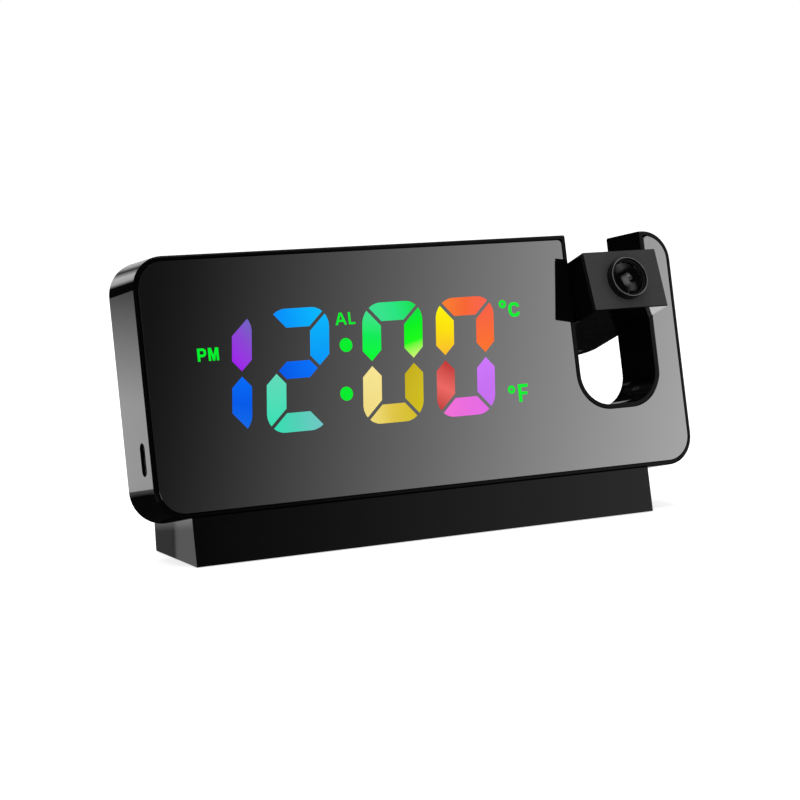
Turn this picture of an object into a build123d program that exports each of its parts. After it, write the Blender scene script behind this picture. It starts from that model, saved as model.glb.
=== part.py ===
from build123d import *

# Projection alarm clock.  A flat case with a half-mirror front leans back on a long foot.  Seven-segment
# digits shine through the mirror.  A U-shaped notch in the case's right end holds a long projector box,
# which swings half a turn on two pins; its lens is focused by turning the ring on its face.
#
# Three frames are used, all in millimetres:
#   case frame       X right, Y back from the mirror's front face, Z up along the mirror, origin at the
#                    middle of the mirror face's bottom edge
#   projector frame  the same directions for the projector box, origin on its hinge line
#   row frame        X right, Y back, Z up from the table, origin under the middle of the whole clock

import os
from math import atan2, cos, degrees, hypot, radians, sin, tan

# ------------------------------------------------------------------ case
CASE_W = 185.0
CASE_H = 75.8
CASE_D = 19.5
CASE_FLARE = 0.6  # the moulding's draft: how far each side steps out from front to back
CASE_CORNER_R = 9.5
CASE_EDGE = 0.5  # bevel round the case's front and back
CASE_WALL = 2.2
RIM = 1.2  # width of the black edge round the mirror
LEAN = 10.5  # degrees that the case leans back
CASE_LIFT = 14.1  # height of the mirror's lower edge above the table

NOTCH_W = 28.3
NOTCH_DEPTH = 54.7
NOTCH_R = 10.2
PRONG_W = 10.9  # what is left of the case to the right of the notch
NOTCH_LIP_R = 1.6  # rounding of the mirror's corners at the mouth of the notch

SEAT_GAP = 0.1  # clearance round a panel that drops into its seat
BOSS_R = 2.9
BOSS_BITE = 0.4  # how far a screw boss runs into the wall that carries it

# ------------------------------------------------------------------ mirror, display and boards
MIRROR_T = 1.5
MIRROR_BEVEL = 0.25
MASK_T = 3.5
BOARD_T = 1.2
BOARD_GAP = 0.3
DISPLAY_END = 8.3  # from the notch to the right end of the mask and board

DIGIT_W = 20.5
DIGIT_H = 36.5
DIGIT_SLANT = 6.1  # degrees
DIGIT_MID_DROP = 35.8  # middle of the digits below the case's top
DIGIT_PITCH = 25.1
DIGIT_CORNER_R = 3.6
DIGIT_NAMES = ("hour_tens", "hour_units", "minute_tens", "minute_units")
DIGIT_SEGMENTS = ("abcdeg", "abcdefg", "abcdefg", "abcdefg")  # the first never shows 0, 4 or more
STROKE_V = 6.35  # width of an upright segment
STROKE_H = 5.75  # height of the top and bottom segments
STROKE_MID = 5.2  # height of the middle segment
SEGMENT_GAP = 1.0
COLON_X = -28.1
COLON_SPACE = 31.5  # between the digits on each side of the colon
COLON_RISE = 14.5
COLON_DROP = 1.1  # the pair of dots sits a little below the middle of the digits
COLON_R = 2.15
DIFFUSER_T = 1.5
DIFFUSER_GAP = 0.05
LED_W = 3.0
LED_L = 2.4
LED_H = 0.8

# Small marks round the digits: what each stands beside; its middle to the right of and above the middle
# of that; width; height
MARKS = {
    "pm": ("hour_tens", -2.95, 6.4, 6.6, 4.7),
    "alarm": ("colon", 1.5, 13.9, 6.2, 4.4),
    "celsius": ("minute_units", 17.55, 13.6, 6.6, 4.9),
    "fahrenheit": ("minute_units", 17.35, -12.7, 6.2, 5.6),
}
MARK_EDGE = 0.4  # the mark's window stands this far outside its letters

USB_DEPTH = 5.6  # behind the mirror face
USB_Z = 18.05
USB_SLOT_L = 9.7
USB_SLOT_W = 3.6
USB_SHELL_L = 8.94
USB_SHELL_W = 3.26
USB_SHELL_T = 0.3
USB_LENGTH = 7.4
USB_SETBACK = 0.6  # mouth of the socket behind the case's side
USB_TONGUE_L = 6.4
USB_TONGUE_T = 0.7

CHIPS = (
    (-30.0, 16.0, 18.0, 7.5),
    (8.0, 16.0, 10.0, 7.5),
    (-62.0, 22.0, 6.0, 5.0),
)  # middle x, middle z, width, height
CHIP_H = 2.2
SENSOR_X = -76.0
SENSOR_Z = 9.0
SENSOR_R = 1.2
SENSOR_L = 4.0
LINK_X = -16.0
LINK_DROP = 27.8  # below the case's top
LINK_W = 20.0
LINK_H = 2.5

# ------------------------------------------------------------------ back cover, keys and cell
COVER_T = 2.0
COVER_SCREW_HEAD_R = 2.1
COVER_SCREW_HEAD_H = 1.1
COVER_SCREW_R = 1.0
COVER_SCREW_L = 8.0

KEY_NAMES = ("set_button", "up_button", "down_button", "alarm_button", "projector_button")
KEY_FIRST_X = -65.0
KEY_PITCH = 16.0
KEY_DROP = 15.8  # middle of the keys below the case's top
KEY_W = 9.0
KEY_H = 5.0
KEY_R = 2.0
KEY_GAP = 0.2
KEY_PROUD_PRESSED = 0.3  # what is left to feel of a key that is pushed home
KEY_CAP_BEVEL = 0.4
KEY_FLANGE = 1.0  # how far a key's flange reaches behind the cover, and its thickness
KEY_TRAVEL = 0.5
KEY_STEM_R = 1.5
KEY_STEM_IN = 0.3  # length of the stem inside its switch at rest
KEY_POST = 4.2  # from the cover to the key board
KEY_POST_R = 2.4
KEY_SCREW_R = 0.9
KEY_SCREW_L = 4.0
KEY_SCREW_HEAD_R = 1.8
KEY_SCREW_HEAD_H = 1.0
KEY_BOARD_W = 108.0
KEY_BOARD_H = 25.0
KEY_BOARD_X = -18.0
KEY_BOARD_DROP = 19.3  # middle of the board below the case's top
SWITCH_SIDE = 6.0
SWITCH_H = 2.6
SWITCH_WELL_GAP = 0.25  # round a key's stem in its switch
SWITCH_FLOOR = 0.4

SNOOZE_X = -19.5
SNOOZE_W = 44.0
SNOOZE_D = 6.0
SNOOZE_R = 2.8
SNOOZE_GAP = 0.2
SNOOZE_FLANGE = 0.7  # how far the flange reaches past the opening
SNOOZE_FLANGE_T = 1.0
SNOOZE_SWITCH_D = 4.0
SNOOZE_SWITCH_H = 5.0

CELL_X = 20.0
CELL_DROP = 18.8  # middle of the cell below the case's top
CELL_R = 10.0
CELL_T = 3.2
CELL_SEAT = 0.4  # floor of the cell holder
CELL_RING_GAP = 0.2
CELL_RING_T = 1.0
CELL_RING_H = 2.4
DOOR_R = 12.0
DOOR_GAP = 0.15
DOOR_RIM = 1.4  # width of the rim that stands over the cell holder
DOOR_RIM_H = 1.1  # how far the rim reaches in front of the cover
DOOR_LUG_REACH = 1.4
DOOR_LUG_T = 1.0
DOOR_LUG_ARC = 30.0  # degrees
DOOR_LUG_ANGLES = (90.0, 270.0)  # degrees, where the lugs stand when the door is locked
DOOR_LUG_ROOM = 2.0  # degrees that the cover's mouths are wider than the lugs on each side
DOOR_TURN = 60.0  # degrees from locked to free
COIN_SLOT_L = 14.0
COIN_SLOT_W = 1.8
COIN_SLOT_DEPTH = 1.0

SPEAKER_X = -45.0
SPEAKER_Z = 24.0
SPEAKER_R = 10.0
SPEAKER_T = 4.5
SPEAKER_RIB = 1.0
SPEAKER_RIB_H = 3.0
GRILLE_R = 8.0  # the slots end on this circle
GRILLE_SLOTS = 5
GRILLE_SLOT_W = 1.4
GRILLE_PITCH = 3.0

# ------------------------------------------------------------------ foot
FOOT_END_LEFT = 10.5  # from the case's left side to the foot
FOOT_END_RIGHT = 18.2  # from the foot to the case's right side
FOOT_DEPTH = 31.6  # on the table, front to back
FOOT_BACK_SLOPE = 4.5  # degrees
FOOT_LIP = 9.0  # height of the foot's rest up the case's back
FOOT_SHOULDER = 12.5  # height of the foot's rear top edge
FOOT_WALL = 2.0
FOOT_PLATE_T = 1.6
FOOT_PLATE_LIP = 1.0
FOOT_SCREW_INSET = 26.6  # from the foot's left end to its first screw
FOOT_SCREW_ASIDE = 5.7  # from the cover's screw beside the notch to the foot's last screw
FOOT_SCREW_BACK = 11.0  # behind the mirror face
FOOT_SCREW_R = 1.4
FOOT_SCREW_L = 7.0
FOOT_SCREW_HEAD_R = 2.6
FOOT_SCREW_HEAD_H = 1.4
FOOT_BOSS_H = 8.0
PLATE_SCREW_SPOTS = (0.07, 0.34, 0.66, 0.93)
PLATE_SCREW_BACK = 15.8  # behind the foot's front edge on the table
PLATE_SCREW_R = 1.1
PLATE_SCREW_L = 5.0
PLATE_SCREW_HEAD_R = 2.0
PLATE_SCREW_HEAD_H = 0.9
PILLAR_R = 2.8
PAD_R = 4.0
PAD_T = 0.8
PAD_PROUD = 0.3
PAD_INSET_X = 11.0
PAD_INSET_Y = 7.0

# ------------------------------------------------------------------ hinge and projector
PIVOT_DROP = 17.7  # hinge line below the case's top
BLOCK_FACE_H = 19.4
BLOCK_FACE_W = 5.7  # from the notch's left wall, at the height of the hinge line
BLOCK_FACE_T = 4.0
BLOCK_TURN = 7.5  # degrees that the block's face sits turned in the mirror, seen from the front
BLOCK_H = 15.0
BLOCK_W = 6.0
BLOCK_GAP = 0.06
PIN_R = 2.5
PIN_BORE_R = 1.3  # hollow pin, the projector's wires pass through it
PIN_RUNNING = 0.05  # radial clearance of both pins
PIN_TAIL = 4.0  # length of the left pin past the hinge block
PIN_FLANGE_R = 4.0
PIN_FLANGE_T = 1.2
WASHER_R = 3.3
WASHER_T = 0.8
CLIP_T = 0.8
PIN_GROOVE = 0.5  # depth of the clip's groove
BUSH_R = 3.2
BUSH_L = 4.4
BUSH_FLANGE_R = 4.4
BUSH_FLANGE_T = 0.8
RIGHT_PIN_R = 2.0
RIGHT_PIN_IN = 3.8  # length of the right pin inside its bush

HEAD_SIDE_GAP = 0.45
HEAD_H = 19.2
HEAD_L = 54.0
HEAD_AHEAD = 20.0  # hinge line to the projector's front face
HEAD_ABOVE = 7.0  # hinge line to the projector's top
HEAD_TILT = 11.2  # degrees that the lens looks up from square to the mirror
HEAD_REAR_R = 9.0  # rounded so that the rear end clears the round bottom of the notch
HEAD_EDGE = 0.25  # bevel round the box's front, top and bottom faces
HEAD_WALL = 1.8
HEAD_COVER_T = 1.5
HEAD_COVER_LIP = 0.8
HEAD_SCREW_R = 0.9
HEAD_SCREW_L = 5.0
HEAD_SCREW_HEAD_R = 1.7
HEAD_SCREW_HEAD_H = 0.8
HEAD_BOSS_R = 2.2
HEAD_BOSS_X = 7.0
HEAD_BOSS_BACK = 4.8  # from the rear wall

RING_R = 6.6
RING_T = 0.6
RING_PROUD = 2.8
RING_FLANGE_R = 7.5
RING_FLANGE_T = 1.0
RING_GAP = 0.08
RING_BEVEL = 0.2
LENS_CELL_T = 0.45
LENS_CELL_SETBACK = 0.7
LENS_CELL_L = 7.0
LENS_CELL_GAP = 0.05
LENS_SETBACK = 0.9  # the glass behind the front edge of its cell
LENS_EDGE_T = 1.6
LENS_BULGE = 1.0
LENS_SEAT = 0.4

CARRIER_SIDE_GAP = 0.9  # between the carrier and the hinge pins' flanges
CARRIER_BACK = 20.0  # carrier's rear end behind the hinge line
CARRIER_GUIDE_L = 5.0  # length of the bore that guides the lens cell
CARRIER_BORE_R = 5.0
CARRIER_GAP = 0.05
CONDENSER_R = 5.6
CONDENSER_BACK = 12.0  # front of the condenser behind the hinge line
CONDENSER_T = 3.6
CONDENSER_EDGE_T = 1.2
LCD_W = 13.0
LCD_H = 11.5
LCD_T = 1.8
LCD_BACK = 9.0  # behind the hinge line
LCD_GAP = 0.1
LED_BOARD_T = 1.6
LED_BOARD_W = 17.0
LED_BOARD_H = 13.0
LED_DOME_R = 2.4
LED_DOME_L = 2.6

# ------------------------------------------------------------------ worked-out places, case frame
MIRROR_BACK = MIRROR_T
BOARD_FRONT = MIRROR_T + MASK_T
BOARD_BACK = BOARD_FRONT + BOARD_T
COVER_FRONT = CASE_D - COVER_T
KEY_BOARD_BACK = COVER_FRONT - KEY_POST
KEY_BOARD_FRONT = KEY_BOARD_BACK - BOARD_T
SWITCH_TOP = KEY_BOARD_BACK + SWITCH_H

DIGIT_MID_Z = CASE_H - DIGIT_MID_DROP
LINK_Z = CASE_H - LINK_DROP
KEY_Z = CASE_H - KEY_DROP
KEY_PROUD = KEY_TRAVEL + KEY_PROUD_PRESSED
KEY_BOARD_Z = CASE_H - KEY_BOARD_DROP
CELL_Z = CASE_H - CELL_DROP

CASE_LEFT = -CASE_W / 2
CASE_RIGHT = CASE_W / 2
NOTCH_RIGHT = CASE_RIGHT - PRONG_W
NOTCH_LEFT = NOTCH_RIGHT - NOTCH_W
NOTCH_X = (NOTCH_LEFT + NOTCH_RIGHT) / 2
NOTCH_FLOOR = CASE_H - NOTCH_DEPTH
DISPLAY_RIGHT = NOTCH_LEFT - DISPLAY_END

PIVOT_Y = CASE_D / 2
PIVOT_Z = CASE_H - PIVOT_DROP
BLOCK_LEFT = NOTCH_LEFT - BLOCK_W

BOSS_INSET = CASE_WALL + BOSS_R - BOSS_BITE
COVER_SCREWS = (
    (CASE_LEFT + BOSS_INSET + CASE_CORNER_R, BOSS_INSET),
    (CASE_LEFT + BOSS_INSET + CASE_CORNER_R, CASE_H - BOSS_INSET),
    (DISPLAY_RIGHT - BOSS_R, BOSS_INSET),
    (DISPLAY_RIGHT - BOSS_R, CASE_H - BOSS_INSET),
    (CASE_RIGHT - BOSS_INSET, CASE_CORNER_R),
    (CASE_RIGHT - BOSS_INSET, CASE_H - CASE_CORNER_R),
)

FOOT_LEFT = CASE_LEFT + FOOT_END_LEFT
FOOT_RIGHT = CASE_RIGHT - FOOT_END_RIGHT
FOOT_W = FOOT_RIGHT - FOOT_LEFT
KEY_BOARD_TOP = KEY_BOARD_Z + KEY_BOARD_H / 2
SNOOZE_Y = KEY_BOARD_FRONT - SNOOZE_SWITCH_D / 2
SNOOZE_SEAT = CASE_H - CASE_WALL  # the inside of the case's top

HEAD_W = NOTCH_W - 2 * HEAD_SIDE_GAP
HEAD_BELOW = HEAD_H - HEAD_ABOVE
HEAD_BACK = HEAD_L - HEAD_AHEAD
HEAD_MID = HEAD_ABOVE - HEAD_H / 2  # height of the lens above the hinge line, in the projector frame
HEAD_FLOOR = -HEAD_BELOW + HEAD_COVER_T
HEAD_INNER_W = HEAD_W - 2 * HEAD_WALL
CARRIER_W = HEAD_INNER_W - 2 * (PIN_FLANGE_T + CARRIER_SIDE_GAP)
LENS_CELL_R = RING_R - RING_T - LENS_CELL_GAP
LENS_R = LENS_CELL_R - LENS_CELL_T
THROUGH = 5.0  # how far a cutting tool runs past what it cuts


# ------------------------------------------------------------------ drawing helpers
def slab(outline, near, far):
    """A front-view outline, x and z, as a solid from depth near to depth far."""
    return extrude(Plane.XZ.offset(-near) * outline, amount=near - far)


def rod_x(y, z, radius, left, right):
    """A round bar along X."""
    return extrude(Plane.YZ.offset(left) * (Pos(y, z) * Circle(radius)), amount=right - left)


def rod_y(x, z, radius, near, far):
    """A round bar along Y."""
    return slab(Pos(x, z) * Circle(radius), near, far)


def rod_z(x, y, radius, low, high):
    """A round bar along Z."""
    return extrude(Plane.XY.offset(low) * (Pos(x, y) * Circle(radius)), amount=high - low)


def block(x0, x1, y0, y1, z0, z1):
    """A box between two corners."""
    middle = Pos((x0 + x1) / 2, (y0 + y1) / 2, (z0 + z1) / 2)
    return middle * Box(x1 - x0, y1 - y0, z1 - z0)


def ring(x, z, inner, outer, near, far):
    """A tube along Y."""
    return rod_y(x, z, outer, near, far) - rod_y(x, z, inner, near - THROUGH, far + THROUGH)


def joined(shapes):
    """Separate solids that lie in one piece's file."""
    return Compound([part for shape in shapes for part in shape.solids()])


def plain_screw(head_r, head_h, shank_r, shank_l):
    """A screw on the Y axis: its seat at the origin, head towards +Y, shank towards -Y."""
    return rod_y(0, 0, head_r, 0, head_h) + rod_y(0, 0, shank_r, -shank_l, 0)


def cross_screw(head_r, head_h, shank_r, shank_l):
    """The same screw with a cross in its head, for places where it shows."""
    screw = plain_screw(head_r, head_h, shank_r, shank_l)
    arm = head_r * 1.1
    slot = head_r * 0.22
    cut = head_h * 0.5
    cross = Rectangle(arm, slot) + Rectangle(slot, arm)
    return screw - slab(cross, head_h - cut, head_h + THROUGH)


# ------------------------------------------------------------------ shared outlines, case frame
def notch_outline(grow=0.0):
    """The U-shaped notch, open at the top, with every wall moved outwards by grow."""
    height = NOTCH_DEPTH + 2 * NOTCH_R + 2 * grow
    slot = RectangleRounded(NOTCH_W + 2 * grow, height, NOTCH_R + grow)
    return Pos(NOTCH_X, NOTCH_FLOOR - grow + height / 2) * slot


def case_outline(inset=0.0):
    """Front view of the case and its notch, drawn inset inside the edge."""
    corner = CASE_CORNER_R - inset
    body = Pos(0, CASE_H / 2) * RectangleRounded(CASE_W - 2 * inset, CASE_H - 2 * inset, corner)
    return body - notch_outline(inset)


def display_outline(gap):
    """The part of the case's cavity that the mask and the display board fill."""
    inset = CASE_WALL + gap
    limit = DISPLAY_RIGHT - gap
    keep = Pos((CASE_LEFT + limit) / 2, CASE_H / 2) * Rectangle(limit - CASE_LEFT, CASE_H)
    return case_outline(inset) & keep


def hinge_block_solid(gap=0.0):
    """The hinge block without its bore: a turned face plate, and an upright block behind it."""
    plate = Rot(0, 0, -BLOCK_TURN) * Rectangle(2 * BLOCK_FACE_W + 2 * gap, BLOCK_FACE_H + 2 * gap)
    core = Rectangle(2 * BLOCK_W + 2 * gap, BLOCK_H + 2 * gap)
    beyond = Pos(NOTCH_LEFT + CASE_W / 2, PIVOT_Z) * Rectangle(CASE_W, CASE_H)
    face = slab((Pos(NOTCH_LEFT, PIVOT_Z) * plate) - beyond, 0, BLOCK_FACE_T + gap)
    return face + slab((Pos(NOTCH_LEFT, PIVOT_Z) * core) - beyond, BLOCK_FACE_T / 2, COVER_FRONT)


# ------------------------------------------------------------------ digits
def upper_bar():
    """Segment a, the level bar at the top, as a closed run of edges about the digit's middle."""
    left, top, r = -DIGIT_W / 2, DIGIT_H / 2, DIGIT_CORNER_R
    joint = SEGMENT_GAP / hypot(1, 1)
    bite = r * (1 - cos(radians(45)))
    bend = r * (1 - cos(radians(67.5)))
    dip = r * (1 - sin(radians(67.5)))
    half = [(left + bite + joint / 2, top - bite + joint / 2), (left + bend, top - dip), (left + r, top)]
    inner = (left + STROKE_H + joint, top - STROKE_H)
    mirrored = [(-x, z) for x, z in reversed(half)]
    return [half, [half[2], mirrored[0]], mirrored, [mirrored[2], (-inner[0], inner[1]), inner, half[0]]]


def upper_left_bar():
    """Segment f, the upright bar at the upper left, as a closed run of edges."""
    left, top, r = -DIGIT_W / 2, DIGIT_H / 2, DIGIT_CORNER_R
    joint = SEGMENT_GAP / hypot(1, 1)
    bite = r * (1 - cos(radians(45)))
    bend = r * (1 - cos(radians(67.5)))
    dip = r * (1 - sin(radians(67.5)))
    arc = [(left, top - r), (left + dip, top - bend), (left + bite - joint / 2, top - bite - joint / 2)]
    right = left + STROKE_V
    shoulder = joint + STROKE_V / 2
    rest = [arc[2], (right, top - STROKE_V - joint), (right, shoulder), (left + STROKE_V / 2, joint)]
    return [arc, rest + [(left, shoulder), arc[0]]]


def middle_bar():
    """Segment g, the six-sided bar across the middle."""
    tip = DIGIT_W / 2 - STROKE_V / 2 - SEGMENT_GAP / hypot(1, 1)
    half = STROKE_MID / 2
    flat = tip - half
    outline = [(-tip, 0), (-flat, half), (flat, half), (tip, 0), (flat, -half), (-flat, -half), (-tip, 0)]
    return [outline]


def segment(name, shrink=0.0):
    """Front view of one segment, a to g, about the digit's middle, leaning by the digit's slant."""
    if name == "g":
        runs = middle_bar()
    elif name in "ad":
        runs = upper_bar()
    else:
        runs = upper_left_bar()
    across = -1 if name in "bc" else 1
    down = -1 if name in "cde" else 1
    lean = tan(radians(DIGIT_SLANT))
    edges = []
    for run in runs:
        points = [(across * x + down * z * lean, down * z) for x, z in run]
        is_arc = len(run) == 3 and name != "g" and run is not runs[-1]
        edges.append(ThreePointArc(*points) if is_arc else Polyline(*points))
    outline = make_face(edges)
    if shrink:
        outline = offset(outline, amount=-shrink, kind=Kind.INTERSECTION)
    return outline


def digit_middles():
    """Middle x of the four digits, left to right."""
    left = COLON_X - COLON_SPACE / 2
    right = COLON_X + COLON_SPACE / 2
    return (left - DIGIT_PITCH, left, right, right + DIGIT_PITCH)


def segments_of(index, shrink=0.0):
    """The segments of one digit, counted from the left."""
    place = Pos(digit_middles()[index], DIGIT_MID_Z)
    return [place * segment(name, shrink) for name in DIGIT_SEGMENTS[index]]


def colon_dots(shrink=0.0):
    """The two round dots of the colon, leaning with the digits."""
    lean = tan(radians(DIGIT_SLANT))
    dots = []
    for side in (-1, 1):
        up = side * COLON_RISE / 2 - COLON_DROP
        dots.append(Pos(COLON_X + up * lean, DIGIT_MID_Z + up) * Circle(COLON_R - shrink))
    return dots


def mark_places():
    """Middle x and middle z of each small mark."""
    middles = dict(zip(DIGIT_NAMES, digit_middles()), colon=COLON_X)
    return [(middles[beside] + right, DIGIT_MID_Z + up) for beside, right, up, _, _ in MARKS.values()]


def mark_windows(shrink=0.0):
    """One window for each small mark."""
    windows = []
    grow = 2 * (MARK_EDGE - shrink)
    for (x, z), (_, _, _, width, height) in zip(mark_places(), MARKS.values()):
        windows.append(Pos(x, z) * Rectangle(width + grow, height + grow))
    return windows


# ------------------------------------------------------------------ case
def make_case_housing():
    """The case's walls: a drafted ring with a seat for the mirror in front and for the cover behind."""
    wide = RectangleRounded(CASE_W + 2 * CASE_FLARE, CASE_H + 2 * CASE_FLARE, CASE_CORNER_R + CASE_FLARE)
    draft = degrees(atan2(CASE_FLARE, CASE_D))
    outer = extrude(Plane.XZ.offset(-CASE_D) * (Pos(0, CASE_H / 2) * wide), amount=CASE_D, taper=draft)
    outer = chamfer(outer.faces().sort_by(Axis.Y)[0].edges(), CASE_EDGE)
    outer = chamfer(outer.faces().sort_by(Axis.Y)[-1].edges(), CASE_EDGE)
    outer -= slab(notch_outline(), -THROUGH, CASE_D + THROUGH)
    housing = outer - slab(case_outline(RIM), -THROUGH, MIRROR_T)
    housing -= slab(case_outline(CASE_WALL), 0, CASE_D)
    housing -= slab(case_outline(RIM), COVER_FRONT, CASE_D + THROUGH)
    housing -= hinge_block_solid(BLOCK_GAP)
    for x, z in COVER_SCREWS:
        boss = rod_y(x, z, BOSS_R, BOARD_BACK, COVER_FRONT) & outer
        pilot = rod_y(x, z, COVER_SCREW_R, COVER_FRONT - COVER_SCREW_L, COVER_FRONT + THROUGH)
        housing = housing + boss - pilot
    for x, y in foot_screw_places():
        boss = rod_z(x, y, BOSS_R, CASE_WALL / 2, FOOT_BOSS_H)
        pilot = rod_z(x, y, FOOT_SCREW_R, -THROUGH, foot_screw_seat() + FOOT_SCREW_L)
        housing = housing + boss - pilot
    housing += rod_x(PIVOT_Y, PIVOT_Z, BUSH_FLANGE_R, NOTCH_RIGHT, NOTCH_RIGHT + BUSH_L)
    housing -= rod_x(PIVOT_Y, PIVOT_Z, BUSH_R, NOTCH_RIGHT - THROUGH, NOTCH_RIGHT + BUSH_L + SEAT_GAP)
    housing -= rod_x(PIVOT_Y, PIVOT_Z, BUSH_FLANGE_R, NOTCH_RIGHT - THROUGH, NOTCH_RIGHT + BUSH_FLANGE_T)
    return housing - usb_slot() - snooze_slot()


def usb_slot():
    """Rounded slot in the case's left side."""
    outline = Pos(USB_DEPTH, USB_Z) * Rot(0, 0, 90) * SlotOverall(USB_SLOT_L, USB_SLOT_W)
    start = CASE_LEFT - CASE_FLARE - THROUGH
    return extrude(Plane.YZ.offset(start) * outline, amount=CASE_LEFT + CASE_WALL + THROUGH / 2 - start)


def snooze_slot():
    """Opening for the snooze button in the case's top."""
    outline = Pos(SNOOZE_X, SNOOZE_Y) * RectangleRounded(
        SNOOZE_W + 2 * SNOOZE_GAP, SNOOZE_D + 2 * SNOOZE_GAP, SNOOZE_R + SNOOZE_GAP
    )
    return extrude(Plane.XY.offset(CASE_H - CASE_WALL - 1) * outline, amount=CASE_WALL + THROUGH)


def make_mirror():
    """The half-mirror panel, bevelled round its front edge, cut out for the notch and the hinge block."""
    shrunk = offset(case_outline(RIM + SEAT_GAP), amount=-NOTCH_LIP_R, kind=Kind.INTERSECTION)
    panel = slab(offset(shrunk, amount=NOTCH_LIP_R, kind=Kind.ARC), 0, MIRROR_T)
    panel = chamfer(panel.faces().sort_by(Axis.Y)[0].edges(), MIRROR_BEVEL)
    return panel - hinge_block_solid(BLOCK_GAP)


def make_mask():
    """The black light frame: one well for each segment, dot and mark, and room for the USB socket."""
    mask = slab(display_outline(SEAT_GAP), MIRROR_BACK, BOARD_FRONT)
    wells = colon_dots() + mark_windows()
    for index in range(len(DIGIT_SEGMENTS)):
        wells += segments_of(index)
    for well in wells:
        mask -= slab(well, MIRROR_BACK - THROUGH, BOARD_FRONT + THROUGH)
    room = USB_SHELL_L / 2 + BOARD_GAP
    edge = CASE_LEFT + USB_SETBACK + USB_LENGTH + BOARD_GAP
    low = USB_DEPTH - USB_SHELL_W / 2 - BOARD_GAP
    return mask - block(CASE_LEFT, edge, low, BOARD_FRONT + THROUGH, USB_Z - room, USB_Z + room)


def make_diffusers(outlines):
    """Milky plugs that fill the front of the mask's wells."""
    return joined([slab(outline, MIRROR_BACK, MIRROR_BACK + DIFFUSER_T) for outline in outlines])


def make_display_board():
    """The board behind the mask, cut out at its left edge for the USB socket."""
    board = slab(display_outline(BOARD_GAP), BOARD_FRONT, BOARD_BACK)
    room = USB_SHELL_L / 2
    edge = CASE_LEFT + USB_SETBACK + USB_LENGTH
    return board - block(CASE_LEFT, edge, 0, CASE_D, USB_Z - room, USB_Z + room)


def make_display_leds():
    """One light in the back of every well."""
    lean = tan(radians(DIGIT_SLANT))
    side = DIGIT_W / 2 - STROKE_V / 2
    high = DIGIT_H / 2 - STROKE_H / 2
    half = DIGIT_H / 4
    places = {"a": (0, high), "b": (side, half), "c": (side, -half), "d": (0, -high)}
    places.update({"e": (-side, -half), "f": (-side, half), "g": (0, 0)})
    spots = []
    for x, names in zip(digit_middles(), DIGIT_SEGMENTS):
        for name in names:
            dx, dz = places[name]
            spots.append((x + dx + dz * lean, DIGIT_MID_Z + dz))
    for sign in (-1, 1):
        up = sign * COLON_RISE / 2 - COLON_DROP
        spots.append((COLON_X + up * lean, DIGIT_MID_Z + up))
    spots += mark_places()
    chip = Rectangle(LED_W, LED_L)
    return joined([slab(Pos(x, z) * chip, BOARD_FRONT - LED_H, BOARD_FRONT) for x, z in spots])


def make_chips():
    """Clock chip, display driver and charger on the back of the display board."""
    return joined(
        [slab(Pos(x, z) * Rectangle(w, h), BOARD_BACK, BOARD_BACK + CHIP_H) for x, z, w, h in CHIPS]
    )


def make_temperature_sensor():
    """Bead thermistor that stands on the back of the display board."""
    return rod_y(SENSOR_X, SENSOR_Z, SENSOR_R, BOARD_BACK, BOARD_BACK + SENSOR_L)


def make_board_link():
    """Pin header between the display board and the key board."""
    return slab(Pos(LINK_X, LINK_Z) * Rectangle(LINK_W, LINK_H), BOARD_BACK, KEY_BOARD_FRONT)


def make_usb_socket():
    """USB-C socket: a rounded shell open to the left, with its tongue."""
    outline = Pos(USB_DEPTH, USB_Z) * Rot(0, 0, 90) * SlotOverall(USB_SHELL_L, USB_SHELL_W)
    inner = Pos(USB_DEPTH, USB_Z) * Rot(0, 0, 90) * SlotOverall(
        USB_SHELL_L - 2 * USB_SHELL_T, USB_SHELL_W - 2 * USB_SHELL_T
    )
    mouth = CASE_LEFT + USB_SETBACK
    shell = extrude(Plane.YZ.offset(mouth) * outline, amount=USB_LENGTH)
    shell -= extrude(Plane.YZ.offset(mouth) * inner, amount=USB_LENGTH - USB_SHELL_T * 3)
    half_t, half_l = USB_TONGUE_T / 2, USB_TONGUE_L / 2
    tongue = block(
        mouth + USB_SHELL_T * 3,
        mouth + USB_LENGTH - USB_SHELL_T,
        USB_DEPTH - half_t,
        USB_DEPTH + half_t,
        USB_Z - half_l,
        USB_Z + half_l,
    )
    return shell + tongue


def make_hinge_block():
    """The block that carries the projector's left pin; its face shows in the mirror's cut-out."""
    bore = rod_x(PIVOT_Y, PIVOT_Z, PIN_R + PIN_RUNNING, BLOCK_LEFT - THROUGH, NOTCH_LEFT + THROUGH)
    return hinge_block_solid() - bore


def make_hinge_bush():
    """Flanged bush in the notch's right wall."""
    bush = rod_x(PIVOT_Y, PIVOT_Z, BUSH_R, NOTCH_RIGHT, NOTCH_RIGHT + BUSH_L)
    bush += rod_x(PIVOT_Y, PIVOT_Z, BUSH_FLANGE_R, NOTCH_RIGHT, NOTCH_RIGHT + BUSH_FLANGE_T)
    return bush - rod_x(
        PIVOT_Y, PIVOT_Z, RIGHT_PIN_R + PIN_RUNNING, NOTCH_RIGHT - THROUGH, NOTCH_RIGHT + BUSH_L + THROUGH
    )


# ------------------------------------------------------------------ back cover, keys, cell, speaker
def key_places():
    """Name and middle x of each key on the back."""
    return [(name, KEY_FIRST_X + index * KEY_PITCH) for index, name in enumerate(KEY_NAMES)]


def key_posts():
    """The four corners where posts on the cover carry the key board."""
    half_w = KEY_BOARD_W / 2 - KEY_POST_R
    half_h = KEY_BOARD_H / 2 - KEY_POST_R
    return [(KEY_BOARD_X + sx * half_w, KEY_BOARD_Z + sz * half_h) for sx in (-1, 1) for sz in (-1, 1)]


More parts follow.
